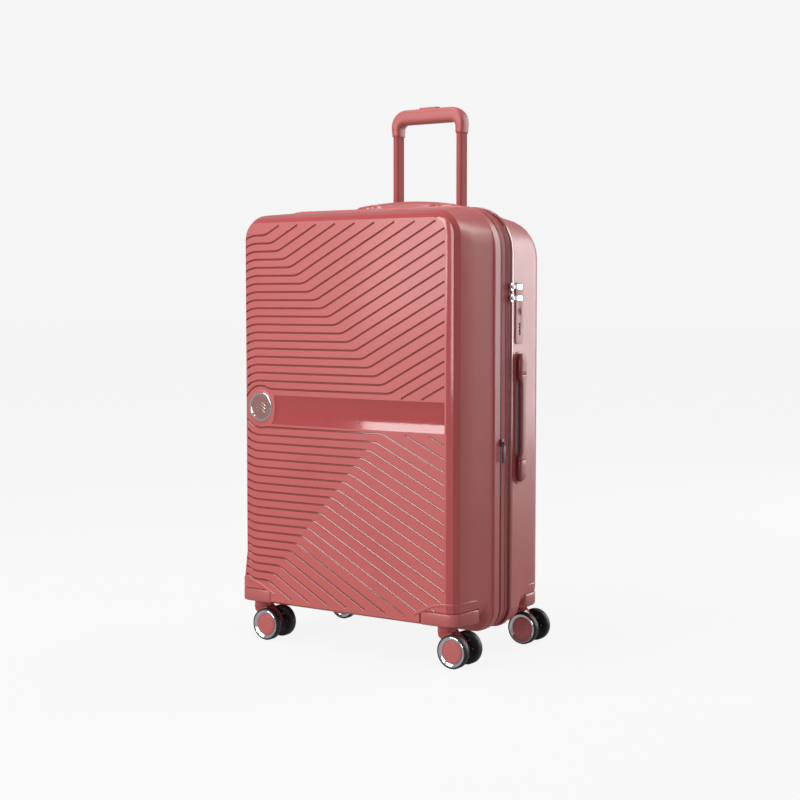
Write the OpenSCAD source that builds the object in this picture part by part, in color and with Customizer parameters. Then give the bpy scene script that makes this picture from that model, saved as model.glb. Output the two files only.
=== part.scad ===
// A large hard shell suitcase: two shells on a zip hinge, an expansion band,
// a two-stage trolley, two pull-out carry handles, a dial lock and four twin casters.
// Origin: on the ground, below the middle of the shells. +Z is up, the front faces -Y.

/* [Case] */
// Width of the shells at their rims
case_w = 480; // [420:2:580]
// Height of the shells at their rims
case_h = 716; // [590:2:870]
// Gap between the ground and the rims
ground_gap = 44; // [42:1:60]
// Depth of the front shell
front_depth = 119; // [98:1:150]
// Depth of the rear shell
rear_depth = 133; // [110:1:160]
// Wall of the shells
shell_t = 2.6; // [2:0.1:3.2]
// Corner radius at the top of the rims
top_r = 75; // [60:1:95]
// Corner radius at the foot of the rims
foot_r = 40; // [33:1:50]
// Draft of the shell sides, in degrees
draft = 5.5; // [4:0.5:7]
// Radius between the rear shell's sides and its back
back_r = 40; // [32:1:50]

/* [Zips] */
// Width of the band between the two zips
band_w = 27.6; // [22:0.2:34]
// Width of one half of a zip tape
zip_w = 3.4; // [2.8:0.1:4.2]
// How far the case expands
expansion = 25; // [20:1:30]
// Thickness of the lining
lining_t = 1.2; // [0.8:0.1:2]

/* [Casters] */
// Diameter of the wheels
wheel_d = 56; // [46:1:60]
// Width of one wheel disc
disc_w = 13; // [11:0.5:16]
// Gap between the two discs of a caster
disc_gap = 28.4; // [24:0.2:34]
// Trail of the axle behind the swivel
trail = 23.5; // [20:0.5:26]
// Distance of the swivels from the middle, across the case
swivel_x = 196; // [180:1:206]
// Distance of the swivels from the middle, front to back
swivel_y = 114; // [108:1:118]
// Diameter of the swivel stem
stem_d = 10; // [8:0.5:12]
// Diameter of the axle
axle_d = 6; // [5:0.5:8]

/* [Trolley] */
// Distance of the tubes from the middle
tube_x = 68.6; // [60:0.2:82]
// Distance of the tubes from the swivel centre plane
tube_y = 126; // [124:0.5:127]
// Width of the inner tube
tube_w = 11; // [9:0.5:13]
// Depth of the inner tube
tube_d = 23.5; // [19:0.5:24]
// Travel of each stage
stage_travel = 180; // [150:1:210]
// Height of the grip, leg ends to crown
grip_h = 48; // [40:1:56]
// Depth of the grip
grip_d = 28; // [25:0.5:29]

/* [Carry handles] */
// Length of a carry handle's base
handle_l = 226; // [190:1:270]
// Width of a carry handle
handle_w = 26; // [22:0.5:30]
// Height of a carry handle above its base
handle_h = 11; // [9:0.5:13]
// How far a carry handle pulls out
handle_pull = 10; // [8:0.5:12]

/* [Lock] */
// Height of the lock plate
lock_h = 104; // [98:1:124]
// Width of the lock plate
lock_w = 29; // [26:0.5:34]
// Radius of the dials
dial_r = 8; // [7:0.5:9]
// Radius of the key cylinder
key_r = 7.5; // [6.5:0.5:8.5]

/* [Badge] */
// Radius of the badge
badge_r = 25.4; // [20:0.2:30]

/* [Hidden] */
$fn = 64;

// Colours
rose = "#c07070";
rose_gloss = "#b55c5c";
rose_dark = "#8e4648";
rose_metal = "#a86a6a";
fabric_rose = "#b86a68";
lining_grey = "#8d7f7d";
black_plastic = "#1c1c1e";
rubber_black = "#141416";
chrome = "#d8dade";
steel = "#a9acb2";
window_dark = "#2b2f33";

// Heights
top_z = ground_gap + case_h;
mid_z = ground_gap + case_h / 2;
wheel_clear = 11;                        // from the tyres' tops to the floors of the housings
well_z = wheel_d + wheel_clear;          // floor of the wheel housings
housing_h = 24.5;
housing_top = well_z + housing_h;

// Depths, from the plane through the middle of the swivels
fold_gap = 0.2;                          // between the two halves of a zip
split_y = 7.6;                           // where the case opens
rear_rim_y = split_y + zip_w;
back_y = rear_rim_y + rear_depth;
expand_y = split_y - band_w;             // where the case expands
front_rim_y = expand_y - zip_w;
face_y = front_rim_y - front_depth;
slope = tan(draft);

// The bevel round the front panel, as steps in from the side and back from the face
bevel_back = 15;
bevel_mid = [11, 3.5];
bevel_in = 20;
foot_bevel = 4;

// The floor of each shell drops from the wheel wells to the rim
well_edge = 58;
belly_edge = 48;
belly_rise = 2;
heel_r = 25;
arc_steps = 9;

// Wheel housings at the corners
housing_x = 38;                          // from the swivel towards the middle
housing_y = 38;
floor_t = 4;
cup_out = [18, 14];                      // the housing's inside, from the swivel outwards
boss_r = 13;
boss_h = 22;
bore_clear = 0.05;

// Screws that hold the housings: their places are steps from the swivel, out and towards the zip
screw_r = 1.5;
screw_head_r = 3.5;
screw_head_h = 2.2;
screw_spots = [[-28, 22], [-28, -8], [10, 24]];

// Zip and band rings
band_inset = 1.4;
band_t = 3;
tape_t = 2;
gusset_inset = 12;
gusset_clear = 1;
gusset_t = 1.2;
gusset_over = 6;                         // how much of the gusset stays inside when expanded
gusset_behind = 2;                       // from the zip to the gusset's flange
gusset_flange = 4;
gusset_end = expand_y - expansion - gusset_over;
hinge_w = 14;
hinge_t = 1;
hinge_foot = 90;                         // from the rim's foot to the hinge
hinge_head = 110;                        // from the hinge to the rim's head

// Linings
lining_lip = 3;                          // from the rear rim to the lining
lining_gap = 4;                          // from the gusset to the front lining

// Trolley
slide_clear = 0.35;
tube_t = 1.2;
wall_step = 1.3;                         // wall of the outer two tubes
tube_round = 3.5;
step = slide_clear + wall_step;
tube_hidden = 60;                        // length that stays inside at full travel
recess_side = 1.6;
bezel_h = 52;
bezel_floor = 19;
bezel_z = top_z - 60;
recess_z = bezel_z + bezel_floor;
grip_z = recess_z + stage_travel + 1.5;  // ends of the grip's legs, upper stage out
grip_leg = 21;                           // from the legs' ends to the underside of the bar
leg_wall = 2.2;
grip_flare = 6;
socket_deep = 16;
button_l = 42;
button_w = 15;
button_up = 2;
button_deep = 5;
button_clear = 0.5;                      // all round the button, and below it
bracket_h = 16;                          // the bar that joins the feet of the outer tubes
bracket_in = 2;
grip_half_w = tube_x + stage_w(0) / 2 + leg_wall + grip_flare;
grip_corner = 30;                        // radius at the grip's shoulders
grip_inner_r = 9;
bezel_cheek = 14;
bezel_front = 8;
bezel_x = grip_half_w + recess_side + bezel_cheek;
outer_foot = well_z + heel_r + 2;
middle_foot = recess_z - stage_travel * 2 - tube_hidden;
inner_foot = recess_z - tube_hidden;
tray_y = tube_y - stage_d(2) / 2 - 1;    // floor of the rear lining, in front of the tubes

// Carry handles, in their own frame: X out of the shell, Y across, Z along
base_in = 13;
base_lip = 1.2;
base_side = 2.5;
lift_clear = 0.4;
arm_l = 46;
bar_w = 17;
bar_t = 7;
bar_over = 4;                            // how far the bar runs into each arm
post_w = 12;
post_l = 20;
post_hold = 1;                           // what stays in the base when the handle is out
post_in = handle_pull + post_hold;
post_clear = 0.3;
pocket_l = 130;
pocket_deep = 11.5;
pocket_side = 2;
pocket_r = 6;
end_clear = 1;                           // from the end of the base's recess to the arms
post_z = handle_l / 2 - arm_l / 2 - base_side - end_clear;
side_handle_y = 42;
top_handle_y = 53;

// Lock, in its own frame: X out of the shell, Y to the back, Z up
lock_z = mid_z + 178;
lock_y = 42;
lock_lip = 1.8;
lock_in = 17;
lock_side = 2.5;
lock_r = 5;
key_up = 3;
key_in = 12;
dial_down = 27;
dial_pitch = 6.2;
dial_t = 5.6;
dial_x = -7.2;
dial_pin_r = 1.5;
dial_clear = 0.4;
window_w = 7.5;
cavity_h = 3 * dial_pitch + 1.2;
key_sunk = 0.3;                          // the key cylinder's face below the plate's

// Zip sliders and their pulls
slider_h = 12;
slider_w = 8;
slider_t = 3.2;
slider_gap = 0.5;
slider_apart = 19;
slider_z = lock_z + lock_h / 2 - 17;     // midway between the two sliders of the main zip
pull_l = 30;
pull_w = 8;
pull_t = 1.6;
pull_pin_r = 0.9;
pull_bore = 0.08;
pull_eye = 1.1;                          // wall of the pull's eye
pull_out = 2.4;                          // from the slider's face to the pull's pin
pull_neck = 6;                           // length of the pull's narrow part
lug_t = 1.6;                             // the lugs that hold the pin's ends
eye_w = slider_w - 2 * lug_t - 0.4;
slider_x = case_w / 2 + slider_gap;
pin_x = slider_x + slider_t + pull_out;
expander_z = mid_z - 38;
expander_pull_l = 34;

// Straps in the rear half
strap_w = 25;
strap_t = 1.6;
strap_x = 190;
strap_z = 240;
buckle_w = 42;

// Badge
badge_x = -176.8;
badge_z = mid_z + 13.3;
badge_t = 1.8;
badge_rim = 2.4;

// Belt: the smooth band across the front panel
belt_x0 = -140;
belt_x1 = 207;
belt_h = 50;
belt_deep = 1.2;
belt_z = mid_z + 9;

// Casters
tyre_r = wheel_d / 2;
core_r = tyre_r - 4;
ring_r = tyre_r - 3;
cap_r = tyre_r - 8.6;
hub_face = disc_w - 3.5;
hub_r = 8;
hub_in = 1.6;                            // the hub's boss, towards the fork
web_in = 1.5;                            // the hub's web, back from the inner face
hub_bore = axle_d / 2 + bore_clear;
fork_half = disc_gap / 2 - 2.2;
turret_r = 17;
turret_clear = 0.4;
neck = wheel_d + 1;                      // underside of the turret
// The fork's cheek in X and Z, from the turret's front edge round the axle to its rear edge
cheek = [[-13, neck], [-11, neck - 9], [trail - 14, tyre_r + 5], [trail - 8, tyre_r - 7],
         [trail + 5, tyre_r - 8], [trail + 9, tyre_r], [trail + 7, tyre_r + 13], [13, neck]];

function rear_slope_at(y) = slope * (y - rear_rim_y);
function corner_x(name) = (name == "front_left" || name == "rear_left") ? -swivel_x : swivel_x;
function corner_y(name) = (name == "front_left" || name == "front_right") ? -swivel_y : swivel_y;

// Extrusions along each axis of outlines drawn in the plane across it
module along_x(x0, x1) {
    translate([x0, 0, 0]) rotate([90, 0, 90]) linear_extrude(x1 - x0) children();
}

module along_y(y0, y1) {
    translate([0, y1, 0]) rotate([90, 0, 0]) linear_extrude(y1 - y0) children();
}

module along_z(z0, z1) {
    translate([0, 0, z0]) linear_extrude(z1 - z0) children();
}

module both_sides() {
    children();
    mirror([1, 0, 0]) children();
}

module rounded_rect(w, h, r) {
    square([w, h - 2 * r], center = true);
    square([w - 2 * r, h], center = true);
    for (x = [-1, 1], y = [-1, 1])
        translate([x * (w / 2 - r), y * (h / 2 - r)]) circle(r);
}

// Outline of the rims, drawn in X and Z
module rim_outline(inset) {
    half_w = case_w / 2 - inset;
    z0 = ground_gap + inset;
    z1 = top_z - inset;
    head = top_r - inset;
    foot = foot_r - inset;
    translate([-half_w, z0 + foot]) square([2 * half_w, z1 - z0 - head - foot]);
    translate([head - half_w, mid_z]) square([2 * (half_w - head), z1 - mid_z]);
    translate([foot - half_w, z0]) square([2 * (half_w - foot), mid_z - z0]);
    for (x = [-1, 1]) {
        translate([x * (half_w - head), z1 - head]) circle(head);
        translate([x * (half_w - foot), z0 + foot]) circle(foot);
    }
}

module rim_ring(y0, y1, inset, thickness) {
    along_y(y0, y1) difference() {
        rim_outline(inset);
        rim_outline(inset + thickness);
    }
}

// Front shell's outlines: the plan in X and Y, and the side in Y and Z
function front_half_plan(inset, over) = [
    [case_w / 2 - inset, front_rim_y + over],
    [case_w / 2 - inset, front_rim_y],
    [case_w / 2 - inset - slope * (front_depth - bevel_back), face_y + bevel_back],
    [case_w / 2 - inset - slope * (front_depth - bevel_back) - (bevel_in - bevel_mid[0]),
     face_y + bevel_mid[1] + inset],
    [case_w / 2 - inset - slope * (front_depth - bevel_back) - bevel_in, face_y + inset]];

module front_plan(inset, over) {
    half = front_half_plan(inset, over);
    polygon(concat(half, [for (i = [len(half) - 1:-1:0]) [-half[i][0], half[i][1]]]));
}

module front_side(inset, over) {
    head_z = top_z - inset - slope * (front_depth - bevel_back);
    polygon([
        [front_rim_y + over, top_z - inset],
        [front_rim_y, top_z - inset],
        [face_y + bevel_back, head_z],
        [face_y + bevel_mid[1] + inset, head_z - bevel_in / 3],
        [face_y + inset, head_z - bevel_in * 2 / 3],
        [face_y + inset, well_z + foot_bevel + inset],
        [face_y + foot_bevel + inset, well_z + inset],
        [-well_edge, well_z + inset],
        [-belly_edge, ground_gap + belly_rise + inset],
        [front_rim_y, ground_gap + inset],
        [front_rim_y + over, ground_gap + inset]]);
}

module front_solid(inset, over = 0) {
    intersection() {
        along_y(face_y + inset, front_rim_y + over) rim_outline(inset);
        along_z(0, top_z) front_plan(inset, over);
        along_x(-case_w / 2, case_w / 2) front_side(inset, over);
    }
}

// Rear shell's outlines, with its back corners as arcs
function arc(centre, r, start, end) =
    [for (i = [0:arc_steps])
        let (turn = start + (end - start) * i / arc_steps) centre + r * [cos(turn), sin(turn)]];

function rear_half_plan(inset, over) =
    let (side_x = case_w / 2 - rear_slope_at(back_y - back_r))
    concat(
        [[case_w / 2 - inset, rear_rim_y - over], [case_w / 2 - inset, rear_rim_y]],
        arc([side_x - back_r, back_y - back_r], back_r - inset, 0, 90));

module rear_plan(inset, over) {
    half = rear_half_plan(inset, over);
    polygon(concat(half, [for (i = [len(half) - 1:-1:0]) [-half[i][0], half[i][1]]]));
}

module rear_side(inset, over) {
    head_z = top_z - rear_slope_at(back_y - back_r);
    polygon(concat(
        [[rear_rim_y - over, top_z - inset], [rear_rim_y, top_z - inset]],
        arc([back_y - back_r, head_z - back_r], back_r - inset, 90, 0),
        arc([back_y - heel_r, well_z + heel_r], heel_r - inset, 0, -90),
        [[well_edge, well_z + inset],
         [belly_edge, ground_gap + belly_rise + inset],
         [rear_rim_y, ground_gap + inset],
         [rear_rim_y - over, ground_gap + inset]]));
}

module rear_solid(inset, over = 0) {
    intersection() {
        along_y(rear_rim_y - over, back_y - inset) rim_outline(inset);
        along_z(0, top_z) rear_plan(inset, over);
        along_x(-case_w / 2, case_w / 2) rear_side(inset, over);
    }
}

// The corner blocks that the wheel housings fill, front and back
module corner_blocks() {
    block_x = swivel_x - housing_x;
    block_y = swivel_y - housing_y;
    both_sides()
        for (y = [block_y, -block_y - case_w])
            translate([block_x, y, 0]) cube([case_w, case_w, housing_top]);
}

module wheel_housings(side) {
    inner = [swivel_x - housing_x + shell_t, swivel_y - housing_y + shell_t];
    difference() {
        intersection() {
            if (side < 0) front_solid(0);
            else rear_solid(0);
            corner_blocks();
        }
        both_sides() difference() {
            translate([inner[0], side > 0 ? inner[1] : -swivel_y - cup_out[1], well_z + floor_t])
                cube([swivel_x + cup_out[0] - inner[0], swivel_y + cup_out[1] - inner[1], housing_h]);
            translate([swivel_x, side * swivel_y, 0]) cylinder(r = boss_r, h = well_z + boss_h);
        }
        both_sides() translate([swivel_x, side * swivel_y, 0])
            cylinder(d = stem_d + 2 * bore_clear, h = housing_top + 1);
        screw_places(side) translate([0, 0, well_z + 1]) cylinder(r = screw_r, h = floor_t);
    }
}

module screw_places(side) {
    both_sides()
        for (spot = screw_spots)
            translate([swivel_x + spot[0], side * (swivel_y - spot[1]), 0]) children();
}

module wheel_screws(side) {
    screw_places(side) {
        translate([0, 0, well_z + 1]) cylinder(r = screw_r, h = floor_t - 1);
        translate([0, 0, well_z + floor_t]) cylinder(r = screw_head_r, h = screw_head_h);
    }
}

// Frames of the parts that sit on the shells' drafted faces
module on_side(y, z) {
    translate([case_w / 2 - rear_slope_at(y), y, z]) rotate([0, 0, draft]) children();
}

module on_top(y) {
    translate([0, y, top_z - rear_slope_at(y)]) rotate([-draft, 0, 0]) rotate([0, -90, 0]) children();
}

module handle_base_hole() {
    along_x(-shell_t - base_in, shell_t) rounded_rect(handle_w, handle_l - 2 * base_side, handle_w / 2 - 0.5);
}

module lock_hole() {
    along_x(-shell_t - lock_in, shell_t)
        rounded_rect(lock_w - 2 * lock_side, lock_h - 2 * lock_side, lock_side);
}

// Main pieces of the rear half
module rear_shell() {
    color(rose) difference() {
        rear_solid(0);
        rear_solid(shell_t, 1);
        corner_blocks();
        bezel_block();
        on_side(side_handle_y, mid_z) handle_base_hole();
        on_top(top_handle_y) handle_base_hole();
        on_side(lock_y, lock_z) lock_hole();
    }
}

module rear_zip_tape() {
    color(rose_dark) rim_ring(split_y + fold_gap / 2, rear_rim_y, band_inset, tape_t);
}

module rear_lining() {
    lip_y = rear_rim_y + lining_lip;
    color(lining_grey) difference() {
        intersection() {
            rear_solid(shell_t);
            along_z(0, top_z) translate([-case_w, lip_y]) square([2 * case_w, tray_y - lip_y]);
        }
        intersection() {
            rear_solid(shell_t + lining_t, 1);
            along_z(0, top_z) translate([-case_w, 0]) square([2 * case_w, tray_y - lining_t]);
        }
        corner_blocks();
        bezel_block();
        on_side(side_handle_y, mid_z) handle_base_hole();
        on_top(top_handle_y) handle_base_hole();
        on_side(lock_y, lock_z) lock_hole();
    }
}

// Straps lie on the lining's floor and meet at the buckle
module packing_straps() {
    strap_y = tray_y - lining_t;
    color(rose_dark) {
        for (tilt = [-1, 1])
            translate([0, strap_y - strap_t, mid_z]) rotate([0, tilt * atan(strap_x / strap_z), 0])
                translate([-strap_w / 2, 0, -norm([strap_x, strap_z])])
                    cube([strap_w, strap_t, 2 * norm([strap_x, strap_z])]);
        translate([-buckle_w / 2, strap_y - 3 * strap_t, mid_z - buckle_w / 2])
            cube([buckle_w, 3 * strap_t, buckle_w]);
    }
}

module rear_wheel_housings() {
    color(rose_gloss) wheel_housings(1);
}

module rear_screws() {
    color(steel) wheel_screws(1);
}

// Trolley. A tube grows by one step of wall and clearance for each stage.
function stage_w(stage) = tube_w + 2 * step * stage;
function stage_d(stage) = tube_d + 2 * step * stage;

module tube_outline(stage, grow = 0) {
    rounded_rect(stage_w(stage) + 2 * grow, stage_d(stage) + 2 * grow, tube_round + step * stage + grow);
}

module tubes(stage, z0, z1) {
    wall = stage == 0 ? tube_t : wall_step;
    both_sides() translate([tube_x, tube_y, 0]) along_z(z0, z1) difference() {
        tube_outline(stage);
        tube_outline(stage, -wall);
    }
}

module bezel_block() {
    depth = back_r + bezel_front;
    translate([-bezel_x, back_y - depth, bezel_z]) cube([2 * bezel_x, depth + 1, top_z - bezel_z + 1]);
}

module trolley_bezel() {
    recess_w = 2 * (grip_half_w + recess_side);
    recess_d = grip_d + 2 * recess_side;
    color(rose_gloss) difference() {
        intersection() {
            rear_solid(0);
            bezel_block();
        }
        translate([-recess_w / 2, tube_y - recess_d / 2, recess_z]) cube([recess_w, recess_d, bezel_h]);
        both_sides() translate([tube_x, tube_y, 0]) along_z(0, top_z) tube_outline(1, slide_clear);
    }
}

module trolley_outer_tubes() {
    color(steel) {
        tubes(2, outer_foot, bezel_z);
        translate([stage_w(2) / 2 - tube_x, tube_y - stage_d(2) / 2 + bracket_in, outer_foot])
            cube([2 * tube_x - stage_w(2), stage_d(2) - 2 * bracket_in, bracket_h]);
    }
}

module trolley_middle_tubes() {
    color(rose_metal) tubes(1, middle_foot, recess_z - 0.5);
}

module trolley_inner_tubes() {
    color(rose_metal) tubes(0, inner_foot, grip_z + socket_deep);
}

// Outline of the grip in X and Z, with the ends of its legs at Z 0
module grip_outline() {
    shoulder_x = grip_half_w - grip_corner;
    foot_x = grip_half_w - grip_flare;
    inner_w = 2 * (tube_x - stage_w(0) / 2 - leg_wall);
    difference() {
        union() {
            translate([0, grip_h - grip_corner]) {
                square([2 * shoulder_x, 2 * grip_corner], center = true);
                for (x = [-shoulder_x, shoulder_x]) translate([x, 0]) circle(grip_corner);
            }
            translate([-foot_x, 0]) square([2 * foot_x, grip_h - grip_corner]);
        }
        translate([-inner_w / 2, -grip_corner]) square([inner_w, grip_corner + grip_leg - grip_inner_r]);
        translate([0, grip_leg / 2 - grip_inner_r])
            rounded_rect(inner_w, grip_leg + 2 * grip_inner_r, grip_inner_r);
        translate([-grip_half_w, -grip_half_w]) square([2 * grip_half_w, grip_half_w]);
    }
}

module trolley_grip() {
    crown = grip_z + grip_h;
    color(rose) difference() {
        translate([0, 0, grip_z]) along_y(tube_y - grip_d / 2, tube_y + grip_d / 2) grip_outline();
        both_sides() translate([tube_x, tube_y, 0]) along_z(0, grip_z + socket_deep) tube_outline(0);
        translate([0, tube_y, 0]) along_z(crown - button_deep, crown + 1)
            rounded_rect(button_l + 2 * button_clear, button_w + 2 * button_clear, button_w / 2);
    }
}

module trolley_button() {
    crown = grip_z + grip_h;
    foot = crown - button_deep + button_up + button_clear;
    color(rose_gloss) translate([0, tube_y, 0]) along_z(foot, crown + button_up)
        rounded_rect(button_l, button_w, button_w / 2 - 0.5);
}

// Carry handles, drawn with X out of the shell
module handle_base() {
    difference() {
        union() {
            along_x(0, base_lip)
                rounded_rect(handle_w + 2 * base_side, handle_l, handle_w / 2 + base_side - 0.5);
            along_x(-base_in, 0) rounded_rect(handle_w, handle_l - 2 * base_side, handle_w / 2 - 0.5);
        }
        along_x(-pocket_deep, base_lip + 1) rounded_rect(handle_w - 2 * pocket_side, pocket_l, pocket_r);
        handle_posts(-base_in - 1, base_lip + 1, post_clear);
    }
}

module handle_posts(x0, x1, grow) {
    for (z = [-post_z, post_z])
        translate([x0, -post_w / 2 - grow, z - post_l / 2 - grow])
            cube([x1 - x0, post_w + 2 * grow, post_l + 2 * grow]);
}

module handle_grip() {
    foot = base_lip + lift_clear;
    crown = base_lip + handle_h;
    for (side = [-1, 1])
        translate([0, 0, side * post_z])
            along_x(foot, crown) rounded_rect(handle_w - 1, arm_l, handle_w / 2 - 1);
    along_x(crown - bar_t, crown) square([bar_w, 2 * post_z - arm_l + 2 * bar_over], center = true);
    handle_posts(-post_in, foot, 0);
}

module side_handle_base() {
    color(rose_gloss) on_side(side_handle_y, mid_z) handle_base();
}

module top_handle_base() {
    color(rose_gloss) on_top(top_handle_y) handle_base();
}

module side_handle() {
    color(rose_dark) on_side(side_handle_y, mid_z) handle_grip();
}

module top_handle() {
    color(rose_dark) on_top(top_handle_y) handle_grip();
}

// Lock
module lock_plate() {
    color(rose_gloss) on_side(lock_y, lock_z) {
        difference() {
            union() {
                along_x(0, lock_lip) rounded_rect(lock_w, lock_h, lock_r);
                along_x(-lock_in, 0)
                    rounded_rect(lock_w - 2 * lock_side, lock_h - 2 * lock_side, lock_side);
            }
            translate([-key_in, 0, key_up]) rotate([0, 90, 0])
                cylinder(r = key_r + bore_clear, h = key_in + lock_lip + 1);
            translate([dial_x, 0, -dial_down - cavity_h / 2]) cylinder(r = dial_r + dial_clear, h = cavity_h);
            translate([dial_x, -window_w / 2, -dial_down - cavity_h / 2])
                cube([lock_in, window_w, cavity_h]);
        }
        translate([dial_x, 0, -dial_down - cavity_h / 2]) cylinder(r = dial_pin_r, h = cavity_h);
    }
}

module key_cylinder() {
    color(chrome) on_side(lock_y, lock_z) translate([bore_clear - key_in, 0, key_up]) rotate([0, 90, 0])
        cylinder(r = key_r, h = key_in + lock_lip - key_sunk);
}

module dial(index) {
    color(window_dark) on_side(lock_y, lock_z)
        translate([dial_x, 0, -dial_down + (2 - index) * dial_pitch - dial_t / 2]) difference() {
            cylinder(r = dial_r, h = dial_t);
            translate([0, 0, -1]) cylinder(r = dial_pin_r + bore_clear, h = dial_t + 2);
        }
}

// Zip sliders stand on the rims' right side; the pull's pin runs along Z or along Y
module slider(y, z, upright) {
    translate([slider_x, y - slider_w / 2, z - slider_h / 2]) cube([slider_t, slider_w, slider_h]);
    translate([pin_x, y, z]) rotate([upright ? 0 : 90, 0, 0]) {
        cylinder(r = pull_pin_r, h = slider_w - 1, center = true);
        for (end = [-1, 1])
            translate([-pull_out - 0.2, -pull_pin_r, end * (slider_w - lug_t) / 2 - lug_t / 2])
                cube([pull_out + 1, 2 * pull_pin_r, lug_t]);
    }
}

// A pull with its eye at the origin and its tab along +Y
module pull(length) {
    difference() {
        union() {
            cylinder(r = pull_pin_r + pull_eye, h = eye_w, center = true);
            translate([-pull_t / 2, 1, -eye_w / 2]) cube([pull_t, pull_neck, eye_w]);
            translate([-pull_t / 2, pull_neck, -pull_w / 2]) cube([pull_t, length - pull_neck, pull_w]);
        }
        cylinder(r = pull_pin_r + pull_bore, h = slider_w, center = true);
    }
}

module zip_slider_upper() {
    color(chrome) slider(split_y, slider_z + slider_apart / 2, true);
}

module zip_slider_lower() {
    color(chrome) slider(split_y, slider_z - slider_apart / 2, true);
}

module zip_pull_upper() {
    color(chrome) translate([pin_x, split_y, slider_z + slider_apart / 2]) pull(pull_l);
}

module zip_pull_lower() {
    color(chrome) translate([pin_x, split_y, slider_z - slider_apart / 2]) pull(pull_l);
}

module expander_slider() {
    color(rose_dark) slider(expand_y, expander_z, false);
}

module expander_pull() {
    color(rose_dark) translate([pin_x, expand_y, expander_z]) rotate([-90, 0, 0])
        pull(expander_pull_l);
}

// The band between the zips, with what is sewn to it
module expander_band() {
    color(fabric_rose) rim_ring(expand_y, split_y - fold_gap / 2, band_inset, band_t);
}

module hinge_tape() {
    tape_x = case_w / 2 - band_inset - band_t;
    color(rose_dark) translate([-tape_x, split_y - fold_gap - hinge_w, ground_gap + hinge_foot])
        cube([hinge_t, hinge_w, case_h - hinge_foot - hinge_head]);
}

// A sleeve inside the front shell, flanged to the band
module expander_gusset() {
    flange = band_inset + band_t;
    flange_y = expand_y + gusset_behind;
    flange_end = flange_y + gusset_flange;
    color(rose_dark) {
        intersection() {
            rim_ring(gusset_end, flange_end, gusset_inset, gusset_t);
            front_solid(shell_t + gusset_clear, band_w);
        }
        rim_ring(flange_y, flange_end, flange, gusset_inset + gusset_t - flange);
    }
}

// Main pieces of the front half
module front_shell() {
    color(rose) difference() {
        front_solid(0);
        front_solid(shell_t, 1);
        corner_blocks();
        translate([belt_x0, face_y - 1, belt_z - belt_h / 2])
            cube([belt_x1 - belt_x0, 1 + belt_deep, belt_h]);
    }
}

module front_zip_tape() {
    color(rose_dark) rim_ring(front_rim_y, expand_y - fold_gap, band_inset, tape_t);
}

module front_lining() {
    lining_end = gusset_end - lining_gap;
    color(lining_grey) difference() {
        intersection() {
            front_solid(shell_t);
            along_z(0, top_z) translate([-case_w, face_y]) square([2 * case_w, lining_end - face_y]);
        }
        front_solid(shell_t + lining_t, 1);
        corner_blocks();
    }
}

module front_wheel_housings() {
    color(rose_gloss) wheel_housings(-1);
}

module front_screws() {
    color(steel) wheel_screws(-1);
}

module badge() {
    color(chrome) translate([badge_x, face_y, badge_z]) rotate([90, 0, 0]) {
        cylinder(r = badge_r, h = badge_t * 2 / 3);
        difference() {
            cylinder(r = badge_r, h = badge_t);
            translate([0, 0, -1]) cylinder(r = badge_r - badge_rim, h = badge_t + 2);
        }
    }
}

// Casters. Sections of the disc pieces are drawn as radius and distance out from the inner face.
module at_corner(name) {
    translate([corner_x(name), corner_y(name), 0]) children();
}

module both_discs(section) {
    translate([trail, 0, tyre_r])
        for (end = [0, 1])
            mirror([0, end, 0]) translate([0, disc_gap / 2, 0]) rotate([-90, 0, 0])
                rotate_extrude($fn = 96) polygon(section);
}

module fork(name) {
    color(rose_gloss) at_corner(name) difference() {
        union() {
            translate([0, 0, neck]) cylinder(r = turret_r, h = well_z - neck - turret_clear);
            along_y(-fork_half, fork_half) polygon(cheek);
            translate([0, 0, neck]) cylinder(d = stem_d, h = well_z + boss_h - 2 - neck);
        }
        translate([trail, 0, tyre_r]) rotate([90, 0, 0]) cylinder(d = axle_d, h = disc_gap, center = true);
    }
}

module axle(name) {
    length = disc_gap + 2 * hub_face - 1;
    color(steel) at_corner(name) translate([trail, 0, tyre_r]) rotate([90, 0, 0])
        cylinder(d = axle_d, h = length, center = true);
}

module hubs(name) {
    color(black_plastic) at_corner(name) both_discs([
        [hub_bore, -hub_in], [hub_r, -hub_in], [hub_r, web_in], [core_r, web_in], [core_r, hub_face],
        [hub_bore, hub_face]]);
}

module tyres(name) {
    color(rubber_black) at_corner(name) both_discs([
        [core_r, 0.8], [tyre_r - 1.2, 0], [tyre_r, 1.4], [tyre_r, disc_w - 1.4], [tyre_r - 1.2, disc_w],
        [ring_r, disc_w], [ring_r, hub_face], [core_r, hub_face]]);
}

module rings(name) {
    color(chrome) at_corner(name) both_discs([
        [cap_r + 0.1, hub_face], [ring_r, hub_face], [ring_r, disc_w - 0.3], [ring_r - 0.8, disc_w - 0.3],
        [cap_r + 0.8, hub_face + 1.4], [cap_r + 0.1, hub_face + 1.4]]);
}

module caps(name) {
    color(rose) at_corner(name) both_discs([
        [0, hub_face], [cap_r, hub_face], [cap_r, hub_face + 1.8], [cap_r - 1.6, hub_face + 2.6],
        [0, hub_face + 2.8]]);
}

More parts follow.
